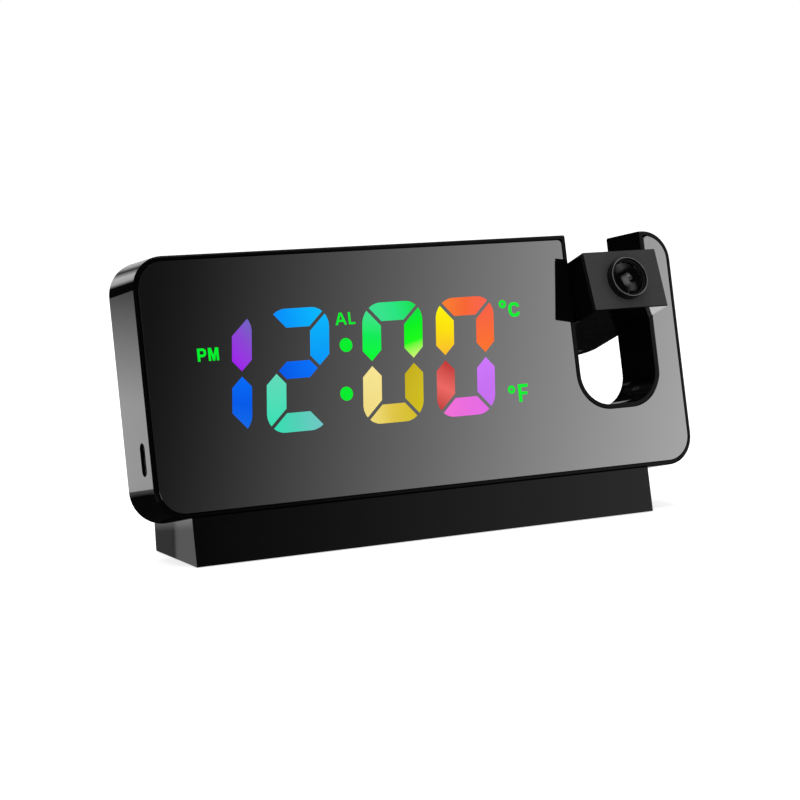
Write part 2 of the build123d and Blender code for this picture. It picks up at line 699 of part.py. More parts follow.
def wedge(radius, middle_angle, arc, reach):
    """Front view of a pie slice about the cell's middle, from the centre out to radius + reach."""
    half = radians(arc / 2)
    middle = radians(middle_angle)
    far = (radius + reach) / cos(half)
    tips = [(far * cos(middle + turn), far * sin(middle + turn)) for turn in (-half, half)]
    slice_ = make_face(Polyline((0, 0), *tips, close=True))
    return Pos(CELL_X, CELL_Z) * (slice_ & Circle(radius + reach))


def grille_slots():
    """The grille's upright slots, each as long as the circle round them allows."""
    slots = Sketch()
    for index in range(GRILLE_SLOTS):
        away = (index - (GRILLE_SLOTS - 1) / 2) * GRILLE_PITCH
        length = 2 * (GRILLE_R**2 - away**2) ** 0.5
        slots += Pos(SPEAKER_X + away, SPEAKER_Z) * Rot(0, 0, 90) * SlotOverall(length, GRILLE_SLOT_W)
    return slots


def make_back_cover():
    """The cover: openings for keys and cell door, sunk screws, grille, and the posts behind them."""
    cover = slab(case_outline(RIM + SEAT_GAP), COVER_FRONT, CASE_D)
    for x, z in COVER_SCREWS:
        cover -= rod_y(x, z, COVER_SCREW_R + SEAT_GAP, COVER_FRONT - THROUGH, CASE_D + THROUGH)
        cover -= rod_y(x, z, COVER_SCREW_HEAD_R + SEAT_GAP, CASE_D - COVER_SCREW_HEAD_H, CASE_D + THROUGH)
    for _, x in key_places():
        cap = RectangleRounded(KEY_W + 2 * KEY_GAP, KEY_H + 2 * KEY_GAP, KEY_R + KEY_GAP)
        cover -= slab(Pos(x, KEY_Z) * cap, COVER_FRONT - THROUGH, CASE_D + THROUGH)
    cover -= rod_y(CELL_X, CELL_Z, DOOR_R, COVER_FRONT - THROUGH, CASE_D + THROUGH)
    for angle in DOOR_LUG_ANGLES:
        arc = DOOR_LUG_ARC + 2 * DOOR_LUG_ROOM
        mouth = wedge(DOOR_R, angle + DOOR_TURN, arc, DOOR_LUG_REACH + DOOR_GAP)
        cover -= slab(mouth, COVER_FRONT - THROUGH, CASE_D + THROUGH)
    cover -= slab(grille_slots(), COVER_FRONT - THROUGH, CASE_D + THROUGH)
    rib_r = SPEAKER_R + SEAT_GAP
    cover += ring(SPEAKER_X, SPEAKER_Z, rib_r, rib_r + SPEAKER_RIB, COVER_FRONT - SPEAKER_RIB_H, COVER_FRONT)
    for x, z in key_posts():
        cover += rod_y(x, z, KEY_POST_R, KEY_BOARD_BACK, COVER_FRONT)
        cover -= rod_y(x, z, KEY_SCREW_R, KEY_BOARD_BACK - THROUGH, KEY_BOARD_FRONT + KEY_SCREW_L)
    return cover


def make_cover_screws():
    """Six screws, sunk in the cover, that bite into the case's bosses."""
    screw = cross_screw(COVER_SCREW_HEAD_R, COVER_SCREW_HEAD_H, COVER_SCREW_R, COVER_SCREW_L)
    seat = CASE_D - COVER_SCREW_HEAD_H
    return joined([Pos(x, seat, z) * screw for x, z in COVER_SCREWS])


def make_key_board():
    """The board that carries the key switches and the cell holder."""
    outline = Pos(KEY_BOARD_X, KEY_BOARD_Z) * RectangleRounded(KEY_BOARD_W, KEY_BOARD_H, 1)
    board = slab(outline, KEY_BOARD_FRONT, KEY_BOARD_BACK)
    for x, z in key_posts():
        board -= rod_y(x, z, KEY_SCREW_R + SEAT_GAP, KEY_BOARD_FRONT - THROUGH, KEY_BOARD_BACK + THROUGH)
    return board


def make_key_board_screws():
    """Four screws through the key board into the cover's posts."""
    screw = Rot(0, 0, 180) * plain_screw(KEY_SCREW_HEAD_R, KEY_SCREW_HEAD_H, KEY_SCREW_R, KEY_SCREW_L)
    return joined([Pos(x, KEY_BOARD_FRONT, z) * screw for x, z in key_posts()])


def make_key_switches():
    """One push switch behind each key, with a square well for the key's stem."""
    body = Rectangle(SWITCH_SIDE, SWITCH_SIDE)
    well_side = 2 * (KEY_STEM_R + SWITCH_WELL_GAP)
    well = Rectangle(well_side, well_side)
    switches = []
    for _, x in key_places():
        switch = slab(Pos(x, KEY_Z) * body, KEY_BOARD_BACK, SWITCH_TOP)
        floor = KEY_BOARD_BACK + SWITCH_FLOOR
        switches.append(switch - slab(Pos(x, KEY_Z) * well, floor, SWITCH_TOP + THROUGH))
    return joined(switches)


def make_key(x):
    """A key: rounded cap, flange behind the cover, and a stem that enters its switch."""
    cap = Pos(x, KEY_Z) * RectangleRounded(KEY_W, KEY_H, KEY_R)
    flange = Pos(x, KEY_Z) * Rectangle(KEY_W + 2 * KEY_FLANGE, KEY_H + 2 * KEY_FLANGE)
    key = slab(cap, COVER_FRONT - KEY_FLANGE, CASE_D + KEY_PROUD)
    key = chamfer(key.faces().sort_by(Axis.Y)[-1].edges(), KEY_CAP_BEVEL)
    key += slab(flange, COVER_FRONT - KEY_FLANGE, COVER_FRONT)
    return key + rod_y(x, KEY_Z, KEY_STEM_R, SWITCH_TOP - KEY_STEM_IN, COVER_FRONT)


def make_snooze_switch():
    """The side-acting switch at the top edge of the key board."""
    low = KEY_BOARD_TOP - SNOOZE_SWITCH_H
    half = SWITCH_SIDE / 2
    switch = block(
        SNOOZE_X - half, SNOOZE_X + half, KEY_BOARD_FRONT - SNOOZE_SWITCH_D, KEY_BOARD_FRONT, low, KEY_BOARD_TOP
    )
    room = KEY_STEM_R + SWITCH_WELL_GAP
    return switch - block(
        SNOOZE_X - room,
        SNOOZE_X + room,
        SNOOZE_Y - room,
        SNOOZE_Y + room,
        low + SWITCH_FLOOR,
        KEY_BOARD_TOP + THROUGH,
    )


def make_snooze_button():
    """The long bar in the case's top, with its flange and its stem down to the switch."""
    cap = Pos(SNOOZE_X, SNOOZE_Y) * RectangleRounded(SNOOZE_W, SNOOZE_D, SNOOZE_R)
    flange = Pos(SNOOZE_X, SNOOZE_Y) * RectangleRounded(
        SNOOZE_W + 2 * SNOOZE_FLANGE + 2 * SNOOZE_GAP, SNOOZE_D + 2 * SNOOZE_FLANGE, SNOOZE_R
    )
    low = SNOOZE_SEAT - SNOOZE_FLANGE_T
    top = CASE_H + CASE_FLARE * SNOOZE_Y / CASE_D
    button = extrude(Plane.XY.offset(low) * cap, amount=top - low)
    button += extrude(Plane.XY.offset(low) * flange, amount=SNOOZE_FLANGE_T)
    return button + rod_z(SNOOZE_X, SNOOZE_Y, KEY_STEM_R, KEY_BOARD_TOP - KEY_STEM_IN, low + SNOOZE_FLANGE_T)


def make_cell_holder():
    """Holder on the key board: a floor, and a ring with a finger gap on each side."""
    inner = CELL_R + CELL_RING_GAP
    holder = rod_y(CELL_X, CELL_Z, inner + CELL_RING_T, KEY_BOARD_BACK, KEY_BOARD_BACK + CELL_SEAT)
    holder += ring(CELL_X, CELL_Z, inner, inner + CELL_RING_T, KEY_BOARD_BACK, KEY_BOARD_BACK + CELL_RING_H)
    gap = Pos(CELL_X, CELL_Z) * Rectangle(CELL_R / 2, 3 * CELL_R)
    return holder - slab(gap, KEY_BOARD_BACK + CELL_SEAT, KEY_BOARD_BACK + CELL_RING_H + 1)


def make_coin_cell():
    """The backup cell: a can with the smaller lid of its negative pole."""
    seat = KEY_BOARD_BACK + CELL_SEAT
    lid = CELL_T / 8
    cell = rod_y(CELL_X, CELL_Z, CELL_R, seat + lid, seat + CELL_T)
    return cell + rod_y(CELL_X, CELL_Z, CELL_R * 0.85, seat, seat + lid)


def make_cell_door():
    """Round door with a coin slot; two lugs behind the cover lock it."""
    outer = DOOR_R - DOOR_GAP
    door = rod_y(CELL_X, CELL_Z, outer, COVER_FRONT - DOOR_RIM_H, CASE_D)
    cell_top = KEY_BOARD_BACK + CELL_SEAT + CELL_T
    door -= rod_y(CELL_X, CELL_Z, outer - DOOR_RIM, COVER_FRONT - DOOR_RIM_H - 1, cell_top + DOOR_GAP)
    slot = Pos(CELL_X, CELL_Z) * SlotOverall(COIN_SLOT_L, COIN_SLOT_W)
    door -= slab(slot, CASE_D - COIN_SLOT_DEPTH, CASE_D + THROUGH)
    hollow = Pos(CELL_X, CELL_Z) * Circle(outer - DOOR_RIM / 2)
    for angle in DOOR_LUG_ANGLES:
        lug = wedge(DOOR_R, angle, DOOR_LUG_ARC, DOOR_LUG_REACH) - hollow
        door += slab(lug, COVER_FRONT - DOOR_RIM_H, COVER_FRONT - DOOR_RIM_H + DOOR_LUG_T)
    return door


def make_speaker():
    """The sounder behind the grille: a can with a stepped magnet."""
    step = SPEAKER_T / 2
    speaker = rod_y(SPEAKER_X, SPEAKER_Z, SPEAKER_R, COVER_FRONT - step, COVER_FRONT)
    return speaker + rod_y(SPEAKER_X, SPEAKER_Z, SPEAKER_R * 0.6, COVER_FRONT - SPEAKER_T, COVER_FRONT - step)


# ------------------------------------------------------------------ foot, in the stand frame: Z up from
# the table, with the mirror face's bottom edge at y = 0
def case_point(back, up):
    """Where a point of the case lies in the side view of the stand: y and z."""
    lean = radians(LEAN)
    return (back * cos(lean) + up * sin(lean), CASE_LIFT - back * sin(lean) + up * cos(lean))


def foot_toe(height):
    """Y of the foot's front face at a height: the face lies in the plane of the mirror."""
    return (height - CASE_LIFT) * tan(radians(LEAN))


def foot_heel(height):
    """Y of the foot's back face at a height."""
    return foot_toe(0) + FOOT_DEPTH + height * tan(radians(FOOT_BACK_SLOPE))


def foot_profile(bottom):
    """Side view of the foot, cut off level at the height bottom."""
    points = [
        (foot_toe(bottom), bottom),
        case_point(0, 0),
        case_point(CASE_D, -CASE_FLARE),
        case_point(CASE_D, FOOT_LIP),
        (foot_heel(FOOT_SHOULDER), FOOT_SHOULDER),
        (foot_heel(bottom), bottom),
    ]
    return make_face(Polyline(*points, close=True))


def across_foot(profile, inset=0.0):
    """A side view run along the foot, stopping inset short of both ends."""
    return extrude(Plane.YZ.offset(FOOT_LEFT + inset) * profile, amount=FOOT_W - 2 * inset)


def foot_screw_places():
    """X and depth, in the case frame, of the screws that hold the case on its foot."""
    first = FOOT_LEFT + FOOT_SCREW_INSET
    last = DISPLAY_RIGHT - BOSS_R + FOOT_SCREW_ASIDE
    return [(x, FOOT_SCREW_BACK) for x in (first, (first + last) / 2, last)]


def foot_screw_seat():
    """Height of those screws' seats in the case frame, on the inside of the foot's top wall."""
    return -CASE_FLARE * FOOT_SCREW_BACK / CASE_D - FOOT_WALL - SEAT_GAP


def plate_screw_places():
    """X and y, in the stand frame, of the screws that hold the foot's plate."""
    return [(FOOT_LEFT + share * FOOT_W, foot_toe(0) + PLATE_SCREW_BACK) for share in PLATE_SCREW_SPOTS]


def plate_box(gap=0.0):
    """The space that the foot's plate fills, less a gap at its edges."""
    inset = FOOT_PLATE_LIP + gap
    front = foot_toe(PAD_PROUD + FOOT_PLATE_T) + inset
    back = foot_heel(PAD_PROUD) - inset
    return block(FOOT_LEFT + inset, FOOT_RIGHT - inset, front, back, PAD_PROUD, PAD_PROUD + FOOT_PLATE_T)


def make_foot():
    """The hollow foot: its front is in line with the mirror, its top cradles the case."""
    outer = across_foot(foot_profile(PAD_PROUD))
    room = offset(foot_profile(PAD_PROUD - FOOT_WALL), amount=-FOOT_WALL, kind=Kind.INTERSECTION)
    foot = outer - across_foot(room, FOOT_WALL) - plate_box()
    for x, y in plate_screw_places():
        pillar = rod_z(x, y, PILLAR_R, PAD_PROUD + FOOT_PLATE_T, CASE_LIFT) & outer
        tip = PAD_PROUD + PLATE_SCREW_HEAD_H + PLATE_SCREW_L
        foot = foot + pillar - rod_z(x, y, PLATE_SCREW_R, 0, tip)
    for x, y in foot_screw_places():
        foot -= CASE_IN_STAND * rod_z(x, y, FOOT_SCREW_R + SEAT_GAP, -2 * FOOT_WALL, THROUGH)
    return foot


def make_foot_plate():
    """The plate that closes the foot from below, with sunk screws and shallow seats for the pads."""
    plate = plate_box(SEAT_GAP)
    for x, y in plate_screw_places():
        plate -= rod_z(x, y, PLATE_SCREW_R + SEAT_GAP, 0, THROUGH)
        plate -= rod_z(x, y, PLATE_SCREW_HEAD_R + SEAT_GAP, 0, PAD_PROUD + PLATE_SCREW_HEAD_H)
    for x, y in pad_places():
        plate -= rod_z(x, y, PAD_R + SEAT_GAP / 2, 0, PAD_T)
    return plate


def pad_places():
    """X and y of the four rubber pads."""
    front = foot_toe(0) + PAD_INSET_Y
    back = foot_heel(0) - PAD_INSET_Y
    return [(x, y) for x in (FOOT_LEFT + PAD_INSET_X, FOOT_RIGHT - PAD_INSET_X) for y in (front, back)]


def make_rubber_pads():
    """Four round pads that the clock stands on."""
    return joined([rod_z(x, y, PAD_R, 0, PAD_T) for x, y in pad_places()])


def make_plate_screws():
    """Four screws up through the plate into the foot's pillars."""
    screw = Rot(-90, 0, 0) * cross_screw(PLATE_SCREW_HEAD_R, PLATE_SCREW_HEAD_H, PLATE_SCREW_R, PLATE_SCREW_L)
    seat = PAD_PROUD + PLATE_SCREW_HEAD_H
    return joined([Pos(x, y, seat) * screw for x, y in plate_screw_places()])


def make_foot_screws():
    """Three screws from inside the foot up into the case."""
    screw = Rot(-90, 0, 0) * plain_screw(FOOT_SCREW_HEAD_R, FOOT_SCREW_HEAD_H, FOOT_SCREW_R, FOOT_SCREW_L)
    return joined([Pos(x, y, foot_screw_seat()) * screw for x, y in foot_screw_places()])


# ------------------------------------------------------------------ projector, projector frame
def head_plan(inset=0.0):
    """The projector box seen from above, with its two rear corners rounded."""
    width = HEAD_W - 2 * inset
    length = HEAD_L - 2 * inset
    back = HEAD_BACK - inset
    corner = HEAD_REAR_R - inset
    long = Pos(0, back - length) * RectangleRounded(width, 2 * length, corner)
    return long & (Pos(0, back - length / 2) * Rectangle(width, length))


def raised(outline, low, high):
    """A plan outline as a solid from height low to height high."""
    return extrude(Plane.XY.offset(low) * outline, amount=high - low)


def head_screws():
    """X and y of the screws in the projector's bottom cover."""
    back = HEAD_BACK - HEAD_WALL - HEAD_BOSS_BACK
    return [(-HEAD_BOSS_X, back), (HEAD_BOSS_X, back)]


def make_projector_housing():
    """The projector's shell, open below: front face with the lens hole, sides, top and rounded rear."""
    outer = raised(head_plan(), -HEAD_BELOW, HEAD_ABOVE)
    upright = outer.faces().sort_by(Axis.Z)
    edges = upright[0].edges() + upright[-1].edges() + outer.faces().sort_by(Axis.Y)[0].edges()
    outer = chamfer(set(edges), HEAD_EDGE)
    shell = outer - raised(head_plan(HEAD_WALL), -HEAD_BELOW - THROUGH, HEAD_ABOVE - HEAD_WALL)
    shell -= raised(head_plan(HEAD_COVER_LIP), -HEAD_BELOW - THROUGH, HEAD_FLOOR)
    for x, y in head_screws():
        shell += rod_z(x, y, HEAD_BOSS_R, HEAD_FLOOR, HEAD_ABOVE - HEAD_WALL / 2)
        tip = -HEAD_BELOW + HEAD_SCREW_HEAD_H + HEAD_SCREW_L
        shell -= rod_z(x, y, HEAD_SCREW_R, HEAD_FLOOR - THROUGH, tip)
    shell -= rod_y(0, HEAD_MID, RING_R + RING_GAP, -HEAD_AHEAD - THROUGH, -HEAD_AHEAD + HEAD_WALL + 1)
    shell -= rod_x(0, 0, PIN_R, -HEAD_W, 0)
    return shell - rod_x(0, 0, RIGHT_PIN_R, 0, HEAD_W)


def make_projector_cover():
    """Bottom cover, sunk flush in the housing."""
    cover = raised(head_plan(HEAD_COVER_LIP + SEAT_GAP / 2), -HEAD_BELOW, HEAD_FLOOR)
    for x, y in head_screws():
        cover -= rod_z(x, y, HEAD_SCREW_R + SEAT_GAP, -HEAD_BELOW - THROUGH, HEAD_FLOOR + THROUGH)
        cover -= rod_z(x, y, HEAD_SCREW_HEAD_R + SEAT_GAP, -HEAD_BELOW - THROUGH, HEAD_SCREW_HEAD_H - HEAD_BELOW)
    return cover


def make_projector_screws():
    """Two screws up through the bottom cover."""
    screw = Rot(-90, 0, 0) * cross_screw(HEAD_SCREW_HEAD_R, HEAD_SCREW_HEAD_H, HEAD_SCREW_R, HEAD_SCREW_L)
    return joined([Pos(x, y, HEAD_SCREW_HEAD_H - HEAD_BELOW) * screw for x, y in head_screws()])


def make_left_pin():
    """Hollow pin, flanged inside the projector, that turns in the hinge block; grooved for its clip."""
    inside = -HEAD_W / 2 + HEAD_WALL
    end = -NOTCH_W / 2 - BLOCK_W - PIN_TAIL
    pin = rod_x(0, 0, PIN_R, end, inside) + rod_x(0, 0, PIN_FLANGE_R, inside, inside + PIN_FLANGE_T)
    groove_right, groove_left = clip_place()
    pin -= rod_x(0, 0, PIN_R + 1, groove_left, groove_right) - rod_x(0, 0, PIN_R - PIN_GROOVE, end, inside)
    return pin - rod_x(0, 0, PIN_BORE_R, end - THROUGH, inside + PIN_FLANGE_T + THROUGH)


def clip_place():
    """The clip's right and left faces, beyond the spring washer."""
    right = -NOTCH_W / 2 - BLOCK_W - SEAT_GAP - WASHER_T
    return right, right - CLIP_T


def make_spring_washer():
    """Spring washer that gives the hinge its drag."""
    right, _ = clip_place()
    washer = rod_x(0, 0, WASHER_R, right, right + WASHER_T)
    return washer - rod_x(0, 0, PIN_R + PIN_RUNNING, right - THROUGH, right + WASHER_T + THROUGH)


def make_pin_clip():
    """Open clip in the pin's groove."""
    right, left = clip_place()
    clip = rod_x(0, 0, WASHER_R, left, right) - rod_x(0, 0, PIN_R - PIN_GROOVE, left - THROUGH, right + THROUGH)
    return clip - block(left - THROUGH, right + THROUGH, -PIN_R / 2, PIN_R / 2, 0, WASHER_R + 1)


def make_right_pin():
    """Plain pin, flanged inside the projector, that turns in the bush."""
    inside = HEAD_W / 2 - HEAD_WALL
    pin = rod_x(0, 0, RIGHT_PIN_R, inside, NOTCH_W / 2 + RIGHT_PIN_IN)
    return pin + rod_x(0, 0, PIN_FLANGE_R, inside - PIN_FLANGE_T, inside)


def lens(radius, edge_t, front_bulge, back_bulge=0.0):
    """A round lens on the Y axis with its front rim at the origin; a bulge of 0 is a flat face."""
    start = (0, -front_bulge)
    rim = [(radius, 0), (radius, edge_t)]
    end = (0, edge_t + back_bulge)
    front = sag_arc(start, rim[0], radius, front_bulge, 1)
    back = sag_arc(end, rim[1], radius, back_bulge, -1) if back_bulge else Line(end, rim[1])
    half = make_face([front, Line(*rim), back, Line(start, end)])
    return revolve(half, Axis.Y)


def sag_arc(pole, rim, radius, bulge, sign):
    """Arc from a lens's pole to its rim, for a face that bulges by bulge over radius."""
    sphere = (radius**2 + bulge**2) / (2 * bulge)
    x = radius / 2
    drop = sphere - (sphere**2 - x**2) ** 0.5
    return ThreePointArc(pole, (x, pole[1] + sign * drop), rim)


def lens_cell_front():
    """Y of the lens cell's front end."""
    return -HEAD_AHEAD - RING_PROUD + LENS_CELL_SETBACK


def ring_flange_back():
    """Y of the back of the focus ring's flange, behind the front wall."""
    return -HEAD_AHEAD + HEAD_WALL + RING_GAP + RING_FLANGE_T


def make_focus_ring():
    """The ring that is turned by hand to focus: it stands proud of the face, a flange keeps it in."""
    inner = RING_R - RING_T
    tube = ring(0, HEAD_MID, inner, RING_R, -HEAD_AHEAD - RING_PROUD, ring_flange_back())
    front = tube.faces().sort_by(Axis.Y)[0]
    tube = chamfer(front.edges(), RING_BEVEL)
    return tube + ring(0, HEAD_MID, inner, RING_FLANGE_R, ring_flange_back() - RING_FLANGE_T, ring_flange_back())


def make_lens_cell():
    """The tube that holds the lens; the ring's thread moves it along the lens's axis."""
    front = lens_cell_front()
    cell = ring(0, HEAD_MID, LENS_R, LENS_CELL_R, front, front + LENS_CELL_L)
    seat = front + LENS_SETBACK + LENS_EDGE_T
    return cell + ring(0, HEAD_MID, LENS_R - LENS_SEAT, LENS_R, seat + LENS_BULGE * 0.2, front + LENS_CELL_L)


def make_objective_lens():
    """The convex lens that throws the picture."""
    place = Pos(0, lens_cell_front() + LENS_SETBACK, HEAD_MID)
    return place * lens(LENS_R, LENS_EDGE_T + LENS_BULGE * 0.2, LENS_BULGE)


def make_optics_carrier():
    """The black block behind the lens that holds the picture slide and the condenser in line."""
    front = ring_flange_back() + RING_GAP
    half = CARRIER_W / 2
    low, high = HEAD_FLOOR + CARRIER_GAP, HEAD_ABOVE - HEAD_WALL - CARRIER_GAP
    carrier = block(-half, half, front, CARRIER_BACK, low, high)
    carrier -= rod_y(0, HEAD_MID, CARRIER_BORE_R, front - THROUGH, CARRIER_BACK + THROUGH)
    carrier -= rod_y(0, HEAD_MID, LENS_CELL_R + LENS_CELL_GAP, front - THROUGH, front + CARRIER_GUIDE_L)
    carrier -= rod_y(0, HEAD_MID, CONDENSER_R, CONDENSER_BACK, CARRIER_BACK + THROUGH)
    slot_w = LCD_W / 2 + LCD_GAP
    slot_low = HEAD_MID - LCD_H / 2
    return carrier - block(
        -slot_w, slot_w, LCD_BACK - LCD_GAP, LCD_BACK + LCD_T + LCD_GAP, slot_low, HEAD_ABOVE
    )


def make_picture_slide():
    """The liquid-crystal slide that holds the projected time."""
    slide = Pos(0, HEAD_MID) * Rectangle(LCD_W, LCD_H)
    return slab(slide, LCD_BACK, LCD_BACK + LCD_T)


def make_condenser():
    """The condenser lens that gathers the lamp's light on the slide."""
    bulge = CONDENSER_T - CONDENSER_EDGE_T
    glass = Rot(0, 0, 180) * lens(CONDENSER_R, CONDENSER_EDGE_T, bulge)
    return Pos(0, CONDENSER_BACK + CONDENSER_EDGE_T, HEAD_MID) * glass


def make_lamp_board():
    """The small board at the carrier's back that holds the lamp."""
    outline = Pos(0, HEAD_MID) * Rectangle(LED_BOARD_W, LED_BOARD_H)
    return slab(outline, CARRIER_BACK, CARRIER_BACK + LED_BOARD_T)


def make_lamp():
    """The projector's LED, a round-nosed bulb that looks forward."""
    nose = CARRIER_BACK - LED_DOME_L + LED_DOME_R / 2
    dome = Pos(0, nose, HEAD_MID) * Rot(90, 0, 0) * Sphere(LED_DOME_R)
    barrel = rod_y(0, HEAD_MID, LED_DOME_R, nose, CARRIER_BACK)
    behind = rod_y(0, HEAD_MID, 2 * LED_DOME_R, nose, CARRIER_BACK + 2 * LED_DOME_R)
    return barrel + (dome - behind)


# ------------------------------------------------------------------ putting it together
CASE_IN_STAND = Location((0, 0, CASE_LIFT), (-LEAN, 0, 0))
HEAD_IN_CASE = Location((NOTCH_X, PIVOT_Y, PIVOT_Z), (-HEAD_TILT, 0, 0))
HEAD_IN_STAND = CASE_IN_STAND * HEAD_IN_CASE


def case_pieces():
    """Pieces drawn in the case frame, by name."""
    pieces = {
        "case_housing": make_case_housing(),
        "mirror_panel": make_mirror(),
        "light_mask": make_mask(),
        "colon_diffusers": make_diffusers(colon_dots(DIFFUSER_GAP)),
        "mark_diffusers": make_diffusers(mark_windows(DIFFUSER_GAP)),
        "display_board": make_display_board(),
        "display_leds": make_display_leds(),
        "control_chips": make_chips(),
        "temperature_sensor": make_temperature_sensor(),
        "board_link": make_board_link(),
        "usb_c_socket": make_usb_socket(),
        "hinge_block": make_hinge_block(),
        "hinge_bush": make_hinge_bush(),
        "back_cover": make_back_cover(),
        "back_cover_screws": make_cover_screws(),
        "key_board": make_key_board(),
        "key_board_screws": make_key_board_screws(),
        "key_switches": make_key_switches(),
        "snooze_switch": make_snooze_switch(),
        "snooze_button": make_snooze_button(),
        "cell_holder": make_cell_holder(),
        "coin_cell": make_coin_cell(),
        "cell_door": make_cell_door(),
        "speaker": make_speaker(),
        "foot_screws": make_foot_screws(),
    }
    for index, name in enumerate(DIGIT_NAMES):
        pieces[name + "_digit"] = make_diffusers(segments_of(index, DIFFUSER_GAP))
    for name, x in key_places():
        pieces[name] = make_key(x)
    return pieces


def stand_pieces():
    """Pieces drawn in the stand frame, by name."""
    return {
        "foot": make_foot(),
        "foot_plate": make_foot_plate(),
        "foot_plate_screws": make_plate_screws(),
        "rubber_pads": make_rubber_pads(),
    }


def head_pieces():
    """Pieces drawn in the projector frame, by name."""
    return {
        "projector_housing": make_projector_housing(),
        "projector_cover": make_projector_cover(),
        "projector_cover_screws": make_projector_screws(),
        "left_hinge_pin": make_left_pin(),
        "right_hinge_pin": make_right_pin(),
        "spring_washer": make_spring_washer(),
        "hinge_pin_clip": make_pin_clip(),
        "optics_carrier": make_optics_carrier(),
        "picture_slide": make_picture_slide(),
        "condenser_lens": make_condenser(),
        "lamp_board": make_lamp_board(),
        "projector_lamp": make_lamp(),
        "focus_ring": make_focus_ring(),
        "lens_cell": make_lens_cell(),
        "objective_lens": make_objective_lens(),
    }


def assemble():
    """Every piece in the row frame, whose origin is under the middle of the whole clock."""
    pieces = {name: CASE_IN_STAND * piece for name, piece in case_pieces().items()}
    pieces.update(stand_pieces())
    pieces.update({name: HEAD_IN_STAND * piece for name, piece in head_pieces().items()})
    boxes = [piece.bounding_box() for piece in pieces.values()]
    middle_x = (min(box.min.X for box in boxes) + max(box.max.X for box in boxes)) / 2
    middle_y = (min(box.min.Y for box in boxes) + max(box.max.Y for box in boxes)) / 2
    centre = Location((-middle_x, -middle_y, -min(box.min.Z for box in boxes)))
    return {name: centre * piece for name, piece in pieces.items()}


os.makedirs("parts", exist_ok=True)
for piece_name, piece_shape in assemble().items():
    export_step(piece_shape, f"parts/{piece_name}.step")
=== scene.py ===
# %% [markdown]
# # A projection alarm clock
# A slim black case with a smoked half-mirror for its face leans back on a long foot.  Coloured digits
# shine through the mirror.  A notch in the case's right end holds a projector that swings half a turn.
# The solids come packed, in metres, as a fixed frame.  This script gives them their finishes, lights the
# display and its small marks, and sets up the studio.

# %% Load the frame
import math

import bmesh
import bpy
from mathutils import Matrix, Vector


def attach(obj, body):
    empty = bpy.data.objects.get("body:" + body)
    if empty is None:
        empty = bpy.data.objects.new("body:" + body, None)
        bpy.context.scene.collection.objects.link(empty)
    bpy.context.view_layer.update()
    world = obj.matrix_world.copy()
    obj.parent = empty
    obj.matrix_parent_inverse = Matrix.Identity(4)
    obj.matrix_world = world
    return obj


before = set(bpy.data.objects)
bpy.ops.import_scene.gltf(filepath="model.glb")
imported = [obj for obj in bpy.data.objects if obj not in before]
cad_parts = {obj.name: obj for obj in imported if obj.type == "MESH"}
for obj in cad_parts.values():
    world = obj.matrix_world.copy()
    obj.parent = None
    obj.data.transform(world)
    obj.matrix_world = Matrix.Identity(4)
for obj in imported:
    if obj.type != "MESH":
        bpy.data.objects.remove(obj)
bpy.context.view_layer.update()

# %% [markdown]
# ## Directions on the face
# The case leans back, so "up the mirror" isn't straight up.  Three directions and one point are enough to
# place anything on the face: along the clock, up the mirror and out of the mirror, from the middle of the
# mirror's lower edge.  How far forward that point lies is worked out from the mirror's own solid, so the
# pieces stay on the glass if the case moves.

# %% The mirror's directions and origin
MM = 0.001
LEAN = math.radians(10.5)  # of the case, backwards
MIRROR_LIFT = 14.1 * MM  # height of the mirror's lower edge above the table

ALONG = Vector((1, 0, 0))
UP = Vector((0, math.sin(LEAN), math.cos(LEAN)))
OUT = Vector((0, -math.cos(LEAN), math.sin(LEAN)))

PROJECTOR_TILT = LEAN + math.radians(11.2)  # at rest its lens looks up a little more than the mirror does
PROJECTOR_FRONT = Vector((0, -math.cos(PROJECTOR_TILT), math.sin(PROJECTOR_TILT)))

mirror_level = max(v.co.dot(OUT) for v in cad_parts["mirror_panel"].data.vertices)
MIRROR_FOOT = Vector((0, (MIRROR_LIFT * OUT.z - mirror_level) / -OUT.y, MIRROR_LIFT))
print("middle of the mirror's lower edge, mm:", [round(v / MM, 3) for v in MIRROR_FOOT])


def on_mirror(x, height, proud=0.0):
    """A point on the mirror: x and height in mm from the middle of its lower edge, proud of it by so much."""
    return MIRROR_FOOT + MM * (x * ALONG + height * UP + proud * OUT)


# %% [markdown]
# ## The camera
# The clock is seen from its front left, a little above the table, with a long lens, so that its far end
# is hardly smaller than its near end.  A camera looks along its own minus Z with Y upwards, so three
# directions side by side make its rotation.  The lens is shifted a little to frame the clock as a
# catalogue does.

# %% Camera
CAMERA_FROM_MIRROR = Vector((-0.31596, -0.57861, 0.10722))  # from the middle of the mirror's lower edge
CAMERA_YAW = math.radians(28.645)
CAMERA_PITCH = math.radians(-5.076)
CAMERA_ROLL = math.radians(-1.414)

ahead = Vector(
    (
        math.sin(CAMERA_YAW) * math.cos(CAMERA_PITCH),
        math.cos(CAMERA_YAW) * math.cos(CAMERA_PITCH),
        math.sin(CAMERA_PITCH),
    )
)
level = Vector((math.cos(CAMERA_YAW), -math.sin(CAMERA_YAW), 0))
right = Matrix.Rotation(CAMERA_ROLL, 3, -ahead) @ level
above = right.cross(ahead)

